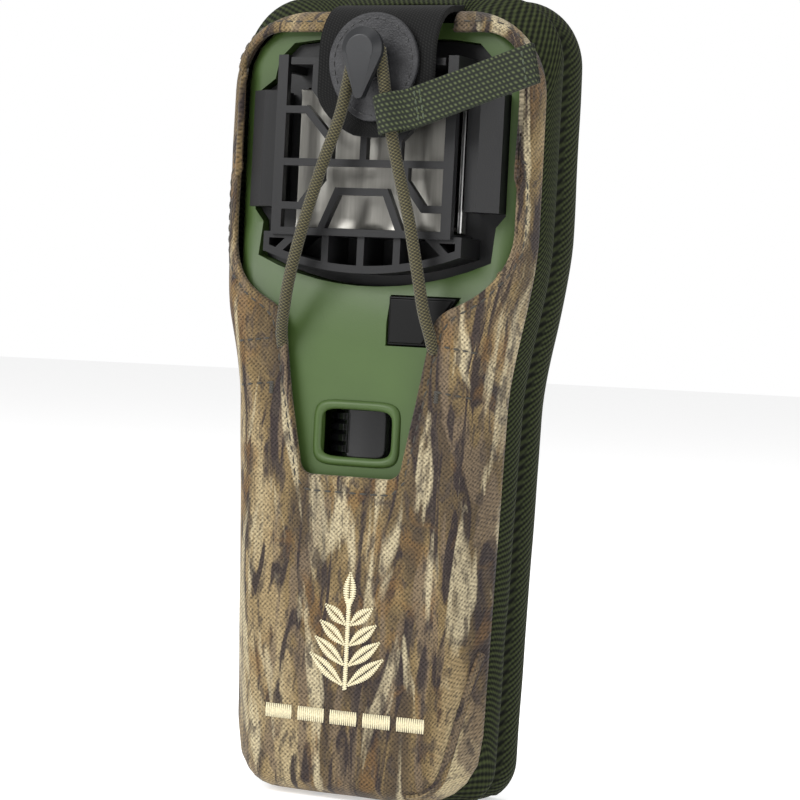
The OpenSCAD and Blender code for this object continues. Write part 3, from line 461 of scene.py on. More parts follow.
def round_edges(piece, width, segments, angle):
    """Round the edges that turn by more than an angle in degrees."""
    edge = piece.modifiers.new("edges", "BEVEL")
    edge.width = width * MM
    edge.segments = segments
    edge.limit_method = "ANGLE"
    edge.angle_limit = math.radians(angle)
    edge.use_clamp_overlap = True
    even = piece.modifiers.new("even_shading", "WEIGHTED_NORMAL")
    even.keep_sharp = True


def softened_copy(node_name, edge, segments, angle):
    """A CAD piece with its edges rounded, in place of the sharp one."""
    source = frame["nodes"][node_name]
    bm = bmesh.new()
    bm.from_mesh(source.data)
    bmesh.ops.remove_doubles(bm, verts=bm.verts, dist=0.002 * MM)
    bmesh.ops.dissolve_limit(bm, angle_limit=math.radians(0.8), verts=bm.verts, edges=bm.edges)
    piece = place(bm, node_name + "_finished", source["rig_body"], finishes[slot_of[node_name]],
                  slot_of[node_name], (node_name,), scale=1.0)
    round_edges(piece, edge, segments, angle)


def draped(columns, rows, shape, weld=True):
    """A grid laid over a surface; shape gives each spot's place and its flat place, in mm."""
    bm = bmesh.new()
    bmesh.ops.create_grid(bm, x_segments=columns, y_segments=rows, size=1.0)
    low = min(v.co.x for v in bm.verts)
    span = max(v.co.x for v in bm.verts) - low
    flat_map = bm.loops.layers.uv.new("UVMap")
    spots = {v: shape((v.co.x - low) / span, (v.co.y - low) / span) for v in bm.verts}
    for face in bm.faces:
        for corner in face.loops:
            flat = spots[corner.vert][1]
            corner[flat_map].uv = (flat[0] * MM, flat[1] * MM)
    for v, (where, _) in spots.items():
        v.co = where
    if weld:
        bmesh.ops.remove_doubles(bm, verts=bm.verts, dist=0.003)
    return bm


def bead(bm, centre, along, facing, length, width, height):
    """One stitch: a small rounded bead that lies along its seam."""
    along = Vector(along).normalized()
    facing = Vector(facing).normalized()
    side = along.cross(facing).normalized()
    turned = Matrix((along, side, along.cross(side))).transposed().to_4x4()
    size = Matrix.Diagonal((length / 2, width / 2, height / 2, 1))
    bmesh.ops.create_uvsphere(bm, u_segments=6, v_segments=5, radius=1.0,
                              matrix=Matrix.Translation(Vector(centre)) @ turned @ size)


def sew(bm, path, facing=(0, -1, 0), length=2.2, pitch=3.0, width=0.5, height=0.35, closed=False):
    """Stitches laid end to end along a path."""
    points = [Vector(p) for p in path]
    if closed:
        points.append(points[0])
    total = sum((b - a).length for a, b in zip(points, points[1:]))
    count = max(1, round(total / pitch))
    for i in range(count):
        want = total * (i + 0.5) / count
        for a, b in zip(points, points[1:]):
            step = (b - a).length
            if want <= step:
                bead(bm, a.lerp(b, want / step), b - a, facing, length, width, height)
                break
            want -= step


def mix(a, b, t):
    return a + (b - a) * t


def ease(t):
    """From 0 to 1 with a gentle start and end."""
    t = max(0.0, min(1.0, t))
    return t * t * (3 - 2 * t)


def bend(a, b, c, t):
    """Part t of the way from a to c, on a curve that leans towards b."""
    return (1 - t) ** 2 * a + 2 * t * (1 - t) * b + t * t * c


def both_sides(right):
    """A loop from its right half, as points (x, z)."""
    return right + [(-x, z) for x, z in reversed(right)]


def reach_of(points):
    """How far along a line each of its points lies."""
    reach = [0.0]
    for a, b in zip(points, points[1:]):
        reach.append(reach[-1] + (b - a).length)
    return reach


def along_curve(points, i, t):
    """Part t of the way from point i to the next, on the smooth curve through all the points."""
    last = len(points) - 1
    p0, p1, p2, p3 = (Vector(points[max(0, min(last, k))]) for k in (i - 1, i, i + 1, i + 2))
    return 0.5 * (2 * p1 + (p2 - p0) * t + (2 * p0 - 5 * p1 + 4 * p2 - p3) * t * t
                  + (3 * p1 - p0 - 3 * p2 + p3) * t ** 3)


# ---- The holster's form, in millimetres ----
HOLSTER_H, HEAD_W, WAIST_W, FOOT_W = 200.0, 86.0, 74.0, 69.0
WAIST_Z, SHOULDER_Z, THROAT_Z = 96.0, 142.0, 118.0
TOP_R, FOOT_R = 16.0, 10.0
SEAM_Y, BACK_Y, LIP_Y, POCKET_Y = -8.0, 13.0, -14.0, -19.8
LEAN, LEAN_TOP_Z = 7.0, 150.0  # how far the front draws in at the foot, and where that starts
HEART = (0.0, 130.0)


def flank(z):
    """Half the holster's width at a height."""
    if z < WAIST_Z:
        return mix(FOOT_W, WAIST_W, max(0, z) / WAIST_Z) / 2
    return mix(WAIST_W, HEAD_W, ease((z - WAIST_Z) / (SHOULDER_Z - WAIST_Z))) / 2


def corner_cut(z, low, high, r_low, r_high):
    """How far the rounded corners take the outline in at a height."""
    if z < low + r_low:
        return r_low - math.sqrt(max(0, r_low ** 2 - (low + r_low - z) ** 2))
    if z > high - r_high:
        return r_high - math.sqrt(max(0, r_high ** 2 - (z - high + r_high) ** 2))
    return 0.0


def lean(z):
    return LEAN * max(0.0, 1 - z / LEAN_TOP_Z)


def front_y(z):
    """Where the front cloth lies at a height: the pocket stands further out than the head."""
    return mix(POCKET_Y, LIP_Y, ease((z - THROAT_Z) / (SHOULDER_Z - THROAT_Z)))


def outline(inset, low, high, leaning=False, r_low=FOOT_R, r_high=TOP_R):
    """The holster's outline as points (x, z), from the foot's middle round by the right side."""
    heights = ([low + r_low * (1 - math.cos(math.radians(a))) for a in range(0, 91, 6)]
               + [mix(low + r_low, high - r_high, i / 60) for i in range(1, 60)]
               + [high - r_high * (1 - math.cos(math.radians(a))) for a in range(90, -1, -6)])
    right = [(flank(z) - inset - corner_cut(z, low, high, r_low, r_high) - (lean(z) if leaning else 0), z)
             for z in heights]
    return both_sides(right)


def opening():
    """The opening's edge: narrow and round below, a shoulder at the throat, and wide at the head."""
    low, neck, head = 14.5, 20.5, 38.6
    foot_z, top_z, top_r, foot_r = 80, 191, 11.0, 4.0
    shoulder = (neck + 6, 123.2)
    turns = [math.radians(a) for a in range(0, 91, 10)]
    right = [(low - foot_r + foot_r * math.sin(a), foot_z + foot_r * (1 - math.cos(a))) for a in turns]
    right += [(mix(low, neck, 0.5), mix(foot_z, THROAT_Z, 0.5)), (neck, THROAT_Z - 1)]
    for start, corner, end, steps in (((neck, THROAT_Z - 1), (neck + 0.5, 121), shoulder, 8),
                                      (shoulder, (head, 129), (head, SHOULDER_Z), 12)):
        for i in range(1, steps + 1):
            right.append(tuple(bend(a, b, c, i / steps) for a, b, c in zip(start, corner, end)))
    right += [(head - top_r + top_r * math.cos(a), top_z - top_r + top_r * math.sin(a)) for a in turns]
    return both_sides(right)


def seen_from_heart(loop, angle):
    """Where the ray at this angle from the head's middle meets a loop, the way out there, and
    which stretch of the loop it meets and how far along."""
    dx, dz = math.cos(angle), math.sin(angle)
    best = None
    for i, ((ax, az), (bx, bz)) in enumerate(zip(loop, loop[1:] + loop[:1])):
        ex, ez = bx - ax, bz - az
        cross = dx * ez - dz * ex
        if abs(cross) < 1e-9:
            continue
        t = ((ax - HEART[0]) * ez - (az - HEART[1]) * ex) / cross
        s = ((ax - HEART[0]) * dz - (az - HEART[1]) * dx) / cross
        if t > 0 and -1e-6 <= s <= 1 + 1e-6 and (best is None or t > best[0]):
            size = math.hypot(ex, ez) or 1
            best = (t, HEART[0] + dx * t, HEART[1] + dz * t, ez / size, -ex / size, i, s)
    return best[1:]


# Folds that the cloth takes where it is pulled: each from one point to another, with a width and a depth
FOLDS = [((24, 101), (34, 112), 2.2, 0.7), ((22, 96), (33, 88), 3.2, 0.55), ((-31, 108), (-24, 94), 2.6, 0.6),
         ((30, 60), (25, 30), 3.4, 0.5), ((-30, 70), (-26, 44), 3.4, 0.5), ((27, 18), (20, 5), 2.4, 0.7),
         ((-12, 40), (-16, 12), 5.0, 0.35), ((12, 74), (16, 40), 5.0, 0.4), ((41, 165), (41, 150), 3.0, 0.5)]


def folds_at(x, z):
    depth = 0.0
    for (ax, az), (bx, bz), width, height in FOLDS:
        ex, ez = bx - ax, bz - az
        t = max(0.0, min(1.0, ((x - ax) * ex + (z - az) * ez) / (ex * ex + ez * ez)))
        away = math.hypot(x - ax - ex * t, z - az - ez * t)
        depth += height * math.exp(-(away / width) ** 2) * (1 - abs(2 * t - 1) ** 3 * 0.7)
    return depth


def cloth_rise(x, z):
    """How far the cloth stands proud of its pattern: a crown, slow waves and folds."""
    crown = 0.7 * math.cos(math.pi * min(1, abs(x) / 34) / 2) * ease(z / 14)
    wave = (0.45 * noise.noise(Vector((x * 0.045, z * 0.022, 3.1)))
            + 0.18 * noise.noise(Vector((x * 0.14, z * 0.09, 8.4))))
    return max(0.0, 0.25 + crown * (1 - ease((z - 100) / 20)) + wave + folds_at(x, z))


RIM_TOP = 196.2
SEAM_LOOP = outline(0.8, 0.4, RIM_TOP, r_low=16.0, r_high=21.0)
FRONT_LOOP = outline(1.2, 0.8, RIM_TOP - 0.4, leaning=True, r_low=8.0, r_high=19.0)
OPENING_LOOP = opening()
ROLL = 4.0
FLAP_X, FLAP_W = 3.5, 31.0
# The cloth's rim is cut away under the flap, this far beside it and up from this height
FLAP_GAP, FLAP_CUT_Z = 0.4, 185
# Shares of the way in from the seam: the side, then the flat up to the hem's edge, then its turn
SIDE_SHARE, HEM_SHARE, TURN_SHARE = 0.30, 0.94, 0.06
HEM_T, HEM_DEPTH = 0.35, 2.0
rays = {}


def rays_at(around):
    """The seam, the front's edge and the opening's edge that belong together, with their ways out."""
    if around not in rays:
        angle = 2 * math.pi * around - math.pi / 2
        cx, cz, nx, nz, i, s = seen_from_heart(FRONT_LOOP, angle)
        (ax, az), (bx, bz) = SEAM_LOOP[i], SEAM_LOOP[(i + 1) % len(SEAM_LOOP)]
        ox, oz, hx, hz = seen_from_heart(OPENING_LOOP, angle)[:4]
        rays[around] = (angle, mix(ax, bx, s), mix(az, bz, s), cx, cz, nx, nz, ox, oz, hx, hz)
    return rays[around]


def pocket_shape(around, outward):
    """The front cloth: hem at the opening, flat of the pocket, rolled edge, and side to the seam."""
    angle, sx, sz, cx, cz, nx, nz, ox, oz, hx, hz = rays_at(around)
    fx, fz = cx - nx * ROLL, cz - nz * ROLL
    gap = (fx - ox) * math.cos(angle) + (fz - oz) * math.sin(angle)
    if gap < 0.3:
        fx, fz = ox + 0.3 * math.cos(angle), oz + 0.3 * math.sin(angle)
    if outward < SIDE_SHARE:
        t = outward / SIDE_SHARE
        yc = front_y(min(max(cz, 4), 199)) - 0.2
        x = bend(sx, cx, fx, t)
        y = bend(SEAM_Y, yc, front_y(fz) - cloth_rise(fx, fz), t)
        z = bend(sz, cz, fz, t)
        rest = (1 - t) * (ROLL + abs(SEAM_Y - yc)) * 0.86
        swell = 0.5 * math.sin(math.pi * t) * (0.6 + noise.noise(Vector((x * 0.05, z * 0.05, 1.7))))
        return (Vector((x + nx * swell * 0.6, y, max(0.05, z + nz * swell * 0.6))),
                (fx + nx * rest, fz + nz * rest))
    if outward < HEM_SHARE:
        t = (outward - SIDE_SHARE) / (HEM_SHARE - SIDE_SHARE)
        x, z = mix(fx, ox, t), mix(fz, oz, t)
        edge = math.hypot(x - ox, z - oz)
        hem = HEM_T * math.exp(-(edge / 1.6) ** 2) - 0.28 * math.exp(-((edge - 2.5) / 0.7) ** 2)
        return Vector((x, front_y(z) - cloth_rise(x, z) - hem, z)), (x, z)
    t = (outward - HEM_SHARE) / TURN_SHARE
    y0 = front_y(oz) - cloth_rise(ox, oz) - HEM_T
    inward = 0.5 * math.sin(math.pi * t)
    return (Vector((ox - hx * inward, y0 + HEM_DEPTH * (1 - math.cos(math.pi * t)) / 2, oz - hz * inward)),
            (ox - hx * HEM_DEPTH * t, oz - hz * HEM_DEPTH * t))


def cut_under_flap(bm):
    """Take away the cloth where the flap passes, and turn what is left to face outwards."""
    hidden = [f for f in bm.faces if abs(f.calc_center_median().x - FLAP_X) < FLAP_W / 2 + FLAP_GAP
              and f.calc_center_median().z > FLAP_CUT_Z]
    bmesh.ops.delete(bm, geom=hidden, context="FACES")
    bmesh.ops.recalc_face_normals(bm, faces=bm.faces)


pouch = draped(420, 84, pocket_shape)
for edge_x in (FLAP_X - FLAP_W / 2 - FLAP_GAP, FLAP_X + FLAP_W / 2 + FLAP_GAP):
    bmesh.ops.bisect_plane(pouch, geom=pouch.verts[:] + pouch.edges[:] + pouch.faces[:],
                           plane_co=(edge_x, 0, 0), plane_no=(1, 0, 0), dist=0.0005)
cut_under_flap(pouch)
front_cloth = BVHTree.FromBMesh(pouch)
pouch_piece = place(pouch, "camo_pocket", "holster_unit", CANVAS, "camo_cloth", ("pouch_shell",))
thicken(pouch_piece, 0.55)


def lining_shape(around, outward):
    """The lining lies just inside the cloth, from the hem to the seam."""
    outward = 0.01 + outward * 0.95
    where, flat = pocket_shape(around, outward)
    nx, nz = rays_at(around)[5:7]
    side = max(0.0, 1 - outward / SIDE_SHARE)
    return where + Vector((-nx * 0.8 * side, 0.75 * min(1.0, outward / 0.2), -nz * 0.8 * side)), flat


lining = draped(260, 44, lining_shape)
cut_under_flap(lining)
lining_piece = place(lining, "pocket_lining", "holster_unit", LINING, "lining_cloth", ("pouch_lining",))
thicken(lining_piece, 0.25)


# ---- Green webbing all round the side ----
BAND_LOOP = outline(0, 0, HOLSTER_H)
BAND_LENGTHS = [0.0]
for (ax, az), (bx, bz) in zip(BAND_LOOP, BAND_LOOP[1:] + BAND_LOOP[:1]):
    BAND_LENGTHS.append(BAND_LENGTHS[-1] + math.hypot(bx - ax, bz - az))


def along_band(share):
    """A place on the band's loop, the way out from it, its distance from the start, and the seam's
    place beside it."""
    want = share * BAND_LENGTHS[-1]
    i = next((k for k in range(len(BAND_LOOP)) if BAND_LENGTHS[k + 1] >= want - 1e-9), len(BAND_LOOP) - 1)
    j = (i + 1) % len(BAND_LOOP)
    (ax, az), (bx, bz) = BAND_LOOP[i], BAND_LOOP[j]
    step = BAND_LENGTHS[i + 1] - BAND_LENGTHS[i] or 1
    t = (want - BAND_LENGTHS[i]) / step
    seam = (mix(SEAM_LOOP[i][0], SEAM_LOOP[j][0], t), mix(SEAM_LOOP[i][1], SEAM_LOOP[j][1], t))
    return mix(ax, bx, t), mix(az, bz, t), (bz - az) / step, -(bx - ax) / step, want, seam


def band_shape(around, across):
    x, z, nx, nz, far, (sx, sz) = along_band(around)
    # The front edge curls in to the seam, but stays up where the flap passes under it
    clear = 1.0 if z < 150 else ease((abs(x - FLAP_X) - FLAP_W / 2) / 7.0)
    curl = (1 - ease(across / 0.3)) * mix(0.4, 1.0, clear)
    ridge = (0.85 * math.sin(math.pi * min(1.0, across / 0.38))
             + 0.85 * math.sin(math.pi * min(1.0, (1 - across) / 0.38)))
    valley = 1.5 * math.exp(-((across - 0.5) / 0.1) ** 2)
    tuck = 0.9 * math.exp(-(across / 0.04) ** 2) + 0.9 * math.exp(-((1 - across) / 0.04) ** 2)
    wave = 0.22 * noise.noise(Vector((x * 0.06, z * 0.06, across * 3)))
    rise = ridge * (0.35 if z < 2 else 1.0) - valley - tuck * 0.4 + wave
    bx, bz = mix(x, sx, curl), mix(z, sz, curl)
    return (Vector((bx + nx * rise, mix(SEAM_Y + 0.05, BACK_Y, across), max(0.0, bz + nz * rise))),
            (across * BAND_W, far))


band = draped(560, 30, band_shape)
bmesh.ops.recalc_face_normals(band, faces=band.faces)
band_piece = place(band, "mesh_webbing_band", "holster_unit", MESH_WEBBING, "green_webbing", ("gusset_band",))
thicken(band_piece, 0.45)


# ---- Back panel and belt loop ----
PANEL_IN = 1.3
PANEL_LOOP = outline(PANEL_IN, PANEL_IN, HOLSTER_H - PANEL_IN)


def panel_shape(around, inward):
    """The padded back: puffed up from its bound edge, with a sewn line 7 mm in."""
    angle = 2 * math.pi * around - math.pi / 2
    x, z = seen_from_heart(PANEL_LOOP, angle)[:2]
    px, pz = mix(x, HEART[0], inward), mix(z, HEART[1] - 30 * inward, inward)
    rim = math.hypot(px - x, pz - z)
    y = BACK_Y - 0.9 + 1.1 * ease(rim / 5) - 0.35 * math.exp(-((rim - 7) / 0.9) ** 2)
    return Vector((px, y, pz)), (px, pz)


panel = draped(220, 40, panel_shape)
bmesh.ops.recalc_face_normals(panel, faces=panel.faces)
panel_piece = place(panel, "padded_back", "holster_unit", BACK_CLOTH, "green_panel", ("back_panel",))
thicken(panel_piece, 2.8)


def strip(path, width, axis, columns=10):
    """A flat strip swept along a path of points; width runs along axis."""
    points = [Vector(p) for p in path]
    reach = reach_of(points)
    axis = Vector(axis).normalized()

    def spot(across, along):
        want = along * reach[-1]
        i = next((k for k in range(len(points) - 1) if reach[k + 1] >= want - 1e-9), len(points) - 2)
        where = along_curve(points, i, (want - reach[i]) / (reach[i + 1] - reach[i]))
        return where + axis * ((across - 0.5) * width), ((across - 0.5) * width, want)
    return draped(columns, max(8, int(reach[-1] / 0.9)), spot, weld=False)


LOOP_W = 38
loop_route = [(0, y, z) for y, z in
              ((13.95, 92), (13.95, 96), (13.95, 99), (14.6, 101.4), (17.2, 102.8), (18.4, 105), (18.45, 115),
               (18.5, 134), (18.45, 153), (18.4, 163), (17.2, 165.2), (14.6, 166.6), (13.95, 169), (13.95, 172),
               (13.95, 176))]
loop_piece = place(strip(loop_route, LOOP_W, (1, 0, 0), 16), "belt_strap", "holster_unit", LOOP_WEBBING,
                   "loop_webbing", ("belt_loop",))
thicken(loop_piece, 1.5, 0.0)
round_edges(loop_piece, 0.45, 2, 50)
# Each end of the belt strap is sewn down with a crossed box
loop_thread = bmesh.new()
for low in (93.5, 169.5):
    box = [(-17, 14.8, low), (17, 14.8, low), (17, 14.8, low + 5), (-17, 14.8, low + 5)]
    sew(loop_thread, box, (0, 1, 0), closed=True)
    sew(loop_thread, [box[0], box[2]], (0, 1, 0))
    sew(loop_thread, [box[1], box[3]], (0, 1, 0))
sew(loop_thread, [(x * 0.905, BACK_Y + 0.05, 100 + (z - 100) * 0.955) for x, z in PANEL_LOOP], (0, 1, 0),
    closed=True)
place(loop_thread, "belt_strap_stitching", "holster_unit", GREEN_THREAD, "loop_webbing")


# ---- Seams, anchors and embroidery on the camouflage cloth ----
def on_pocket(x, z, proud=0.0):
    """The cloth's surface straight behind a place seen from the front."""
    spot = front_cloth.ray_cast(Vector((x, -60, z)), Vector((0, 1, 0)))[0]
    return spot - Vector((0, proud, 0)) if spot else Vector((x, front_y(z), z))


HEM_STITCH_IN = 2.5


def hem_spot(around):
    """A spot on the cloth where the hem's stitching runs, beside the opening's edge."""
    outward = HEM_SHARE
    edge = pocket_shape(around, outward)[0]
    while outward > 0.03 and (pocket_shape(around, outward)[0] - edge).length < HEM_STITCH_IN:
        outward -= 0.01
    here = pocket_shape(around, outward)[0]
    along = pocket_shape(around + 0.001, outward)[0] - here
    facing = along.cross(pocket_shape(around, outward - 0.02)[0] - here)
    facing *= -1 if facing.y > 0 else 1
    return here + facing.normalized() * 0.02


def under_flap(spot):
    return spot.z > 183 and abs(spot.x - FLAP_X) < FLAP_W / 2 + 1


seams = bmesh.new()
hem_run = [hem_spot(i / 320) for i in range(320)]
half = len(hem_run) // 2
for run in (hem_run[:half], hem_run[half:]):
    sew(seams, [spot for spot in run if not under_flap(spot)], pitch=2.9, width=0.6, height=0.28)
# Two rows and a bar tack hold each end of the elastic
for side in (-1, 1):
    for z_in, z_out, x_in, x_out in ((113.6, 112.4, 23.5, 33.0), (102.6, 101.4, 22.0, 32.0)):
        row = [on_pocket(side * mix(x_in, x_out, t / 8), mix(z_in, z_out, t / 8), 0.08) for t in range(9)]
        sew(seams, row, length=1.8, pitch=2.4, width=0.6, height=0.45)
    tack = [on_pocket(side * 22.6, mix(99.8, 102.8, t / 4), 0.1) for t in range(5)]
    sew(seams, tack, length=0.8, pitch=0.65, width=1.5, height=0.4)
place(seams, "pocket_stitching", "holster_unit", SEAM_THREAD, "camo_cloth", ("cord_anchors",))


CREST_X, CREST_Z = 2, 28


def satin(bm, left, right, count):
    """Satin stitch on the pocket: threads laid side by side between two edges."""
    for i in range(count):
        a, b = left(i / (count - 1)), right(i / (count - 1))
        middle = Vector(((a[0] + b[0]) / 2, 0, (a[1] + b[1]) / 2))
        middle.y = on_pocket(middle.x, middle.z, 0.12).y
        across = Vector((b[0] - a[0], 0, b[1] - a[1]))
        bead(bm, middle, across, (0, -1, 0), across.length + 0.25, 0.62, 0.55)


def leaf(bm, foot, tilt, length, width):
    """One leaf in satin stitch, from its foot; the threads slant out from the midrib."""
    turn = math.radians(tilt)

    def at(u, v):
        return (CREST_X + foot[0] + u * math.cos(turn) - v * math.sin(turn),
                CREST_Z + foot[1] + u * math.sin(turn) + v * math.cos(turn))
    for side in (-1, 1):
        satin(bm, lambda t: at(side * 0.1, length * min(1, t * 0.97 + 0.02)),
              lambda t: at(side * width / 2 * math.sin(math.pi * min(1, t * 0.93 + 0.05)),
                           length * min(1, t * 0.93 + 0.05)), int(length / 0.55))


# A sprig: the stem, the leaf at its top and four pairs that shorten upwards, over a row of five dashes
crest = bmesh.new()
satin(crest, lambda t: (CREST_X - 0.6, CREST_Z + 22 * t), lambda t: (CREST_X + 0.6, CREST_Z + 0.4 + 22 * t), 42)
leaf(crest, (0, 20), 0, 9, 3.6)
for pair in range(4):
    for side in (-1, 1):
        leaf(crest, (side * 0.6, 1 + pair * 5), side * -52, 12 - pair * 1.5, 3.4)
for x in (-16, -7, 2, 11, 20):
    satin(crest, lambda t: (x - 3.4 + 6.8 * t, 19.0), lambda t: (x - 3.4 + 6.8 * t, 23.0), 13)
place(crest, "leaf_embroidery", "holster_unit", CREAM, "thread_cream", ("emblem",))

# The hem strip runs on the cloth's surface, round the lower right corner
hem_route = [pocket_shape(mix(0.0465, 0.025, t / 10), mix(0.03, 0.24, t / 10))[0] for t in range(11)]
hem_out = Vector((0.7, -0.5, -0.5)).normalized()
hem_piece = place(strip([spot + hem_out * 0.2 for spot in hem_route], 2.6,
                        (hem_route[-1] - hem_route[0]).cross(hem_out), 8),
                  "corner_hem", "holster_unit", CANVAS, "camo_cloth", ("hem_strip",))
thicken(hem_piece, 0.9, 0.0)
round_edges(hem_piece, 0.4, 2, 50)


# ---- The repeller's outside ----
softened_copy("front_housing", 0.35, 2, 40)
softened_copy("heat_guard", 0.28, 2, 35)
softened_copy("start_button", 0.3, 2, 30)
softened_copy("switch_dial", 0.22, 2, 40)
WINDOW_HALF, WINDOW_Z, RIM_HALF, RIM_PROUD = (9.8, 6.15), 91.0, (11.7, 8.0), 0.8
housing = bmesh.new()
housing.from_mesh(frame["nodes"]["front_housing"].data)
housing_skin = BVHTree.FromBMesh(housing)
housing.free()


def window_rim(around, across):
    """A soft rounded rim round the switch's window, moulded with the housing."""
    way = 2 * math.pi * around
    x, z = (math.copysign(abs(v) ** 0.36, v) for v in (math.cos(way), math.sin(way)))
    x = x * mix(WINDOW_HALF[0], RIM_HALF[0], across)
    z = WINDOW_Z + z * mix(WINDOW_HALF[1], RIM_HALF[1], across)
    beside = Vector((math.copysign(RIM_HALF[0] + 0.4, x), -60, z)) * MM
    skin = housing_skin.ray_cast(beside, Vector((0, 1, 0)))[0].y / MM
    return Vector((x, skin + 0.2 - RIM_PROUD * math.sin(math.pi * across) ** 0.8, z)), (x, z)


rim_piece = place(draped(120, 10, window_rim), "window_rim", "holster_unit", HOUSING, "green_plastic")
thicken(rim_piece, 0.3)


PLATE_HALF_W, PLATE_LOW, PLATE_HIGH, PLATE_Y = 21.7, 141.5, 176.0, -14.2
FOLD_PITCH, FOLD_DEPTH = 14.0, 0.5


def plate_shape(across, up):
    """Pressed aluminium with round corrugations that stand upright."""
    x, z = mix(-PLATE_HALF_W, PLATE_HALF_W, across), mix(PLATE_LOW, PLATE_HIGH, up)
    fold = FOLD_DEPTH * math.cos(2 * math.pi * x / FOLD_PITCH)
    return Vector((x, PLATE_Y - fold * ease(up / 0.05) * ease((1 - up) / 0.05), z)), (x, z)


plate_piece = place(draped(120, 24, plate_shape, weld=False), "corrugated_plate", "holster_unit", PLATE,
                    "plate_metal", ("heat_plate",))
thicken(plate_piece, 0.8)
round_edges(plate_piece, 0.2, 2, 50)

# The plate's folded edge, in the gap beside the cage, given the paler plated-steel finish so that it shows as a
# bright bar: a painted highlight on top of the metal's own reflection
flange = bmesh.new()
bmesh.ops.create_cube(flange, size=1.0)
bmesh.ops.scale(flange, vec=(1.1, 3.0, 35.0), verts=flange.verts)
bmesh.ops.bevel(flange, geom=flange.edges[:], offset=0.3, offset_type="OFFSET", affect="EDGES", segments=3,
                profile=0.5, material=-1)
bmesh.ops.translate(flange, vec=(24.75, -15.6, 158.6), verts=flange.verts)
place(flange, "plate_folded_edge", "holster_unit", STEEL, "plate_metal", soft_edge=40)

# A small open ring of brass wire at the plate's right edge
WIRE_R, CLIP_R, CLIP_PLACE = 0.32, 1.3, (28.3, -15.8, 148.2)
upright = Matrix.Rotation(math.pi / 2, 4, "X")
clip = bmesh.new()
bmesh.ops.create_circle(clip, radius=WIRE_R, segments=10, matrix=Matrix.Translation((CLIP_R, 0, 0)) @ upright)
bmesh.ops.spin(clip, geom=clip.edges[:], cent=(0, 0, 0), axis=(0, 0, 1), angle=math.radians(285), steps=22)
bmesh.ops.holes_fill(clip, edges=[e for e in clip.edges if e.is_boundary], sides=0)
bmesh.ops.recalc_face_normals(clip, faces=clip.faces)
gap_turn = Matrix.Rotation(math.radians(30), 4, "Z")
bmesh.ops.transform(clip, matrix=Matrix.Translation(CLIP_PLACE) @ upright @ gap_turn, verts=clip.verts)
place(clip, "spring_clip", "holster_unit", BRASS, "brass", soft_edge=60)

# ---- Closure: strap, leather patch, hook, cord and pull tab ----
strap_route = [(-0.6, 197.2), (-4.0, 197.2), (-7.5, 197.1), (-10.2, 196.7), (-13.5, 196.3), (-16.6, 195.4),
               (-19.2, 193.8), (-21.4, 191.4), (-22.9, 188.6), (-23.6, 185.4), (-23.7, 180.0),
               (-23.7, 174.0), (-23.7, 168.0), (-23.7, 163.7)]


ROUND_FROM_Z, ROUND_H = 175.0, 11.3


def strap_grid():
    """The flap's webbing over its route, cut round at the lower end and a little uneven."""
    bm = strip([(FLAP_X, y, z) for y, z in strap_route], FLAP_W, (1, 0, 0), 22)
    for v in bm.verts:
        drop = ROUND_FROM_Z - v.co.z
        if drop > 0 and v.co.y < -20:
            share = min(1.0, drop / ROUND_H)
            v.co.x = FLAP_X + (v.co.x - FLAP_X) * math.sqrt(max(0.02, 1 - (share ** 2.2) * 0.9))
            bow = ((v.co.x - FLAP_X) / (FLAP_W / 2)) ** 2
            v.co.z += bow * share * 3.2
        if v.co.z < 190:
            v.co.y -= 0.25 * noise.noise(Vector((v.co.x * 0.08, v.co.z * 0.06, 2.0)))
    return bm


strap_piece = place(strap_grid(), "closing_strap", None, FLAP_WEBBING, "black_webbing",
                    ("flap_root", "closure_flap"))
thicken(strap_piece, 1.6, 0.0)
round_edges(strap_piece, 0.35, 2, 50)
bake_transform(strap_piece)

HOOK_Z = 182.0
PATCH_R, PATCH_DROP, PATCH_BACK_Y, PATCH_T = 12.0, 14.6, -24.65, 1.25


def pear(angle, shrink=0.0):
    """The patch's rim: a disc that narrows below."""
    x, z = math.cos(angle), math.sin(angle)
    r = PATCH_R - shrink
    if z < 0:
        return FLAP_X + x * r * (1 - 0.12 * abs(z) ** 1.5), HOOK_Z + z * (PATCH_DROP - shrink)
    return FLAP_X + x * r, HOOK_Z + z * r


patch = bmesh.new()
for v in bmesh.ops.create_circle(patch, cap_ends=True, radius=1.0, segments=96)["verts"]:
    x, z = pear(math.atan2(v.co.y, v.co.x))
    v.co = (x, PATCH_BACK_Y, z)
raised = bmesh.ops.extrude_face_region(patch, geom=patch.faces[:])["geom"]
bmesh.ops.translate(patch, vec=(0, -PATCH_T, 0), verts=[g for g in raised if isinstance(g, bmesh.types.BMVert)])
bmesh.ops.recalc_face_normals(patch, faces=patch.faces)
patch_piece = place(patch, "leather_patch", "closing_flap", LEATHER, "black_leather", ("flap_patch",))
round_edges(patch_piece, 0.35, 3, 50)
patch_thread = bmesh.new()
stitch_ring = [pear(2 * math.pi * i / 72, 1.5) for i in range(72)]
sew(patch_thread, [(x, -25.93, z) for x, z in stitch_ring], length=1.7, pitch=2.15, width=0.42, height=0.3,
    closed=True)
place(patch_thread, "patch_stitching", "closing_flap", BLACK_THREAD, "black_leather")
softened_copy("cord_hook", 0.35, 3, 30)

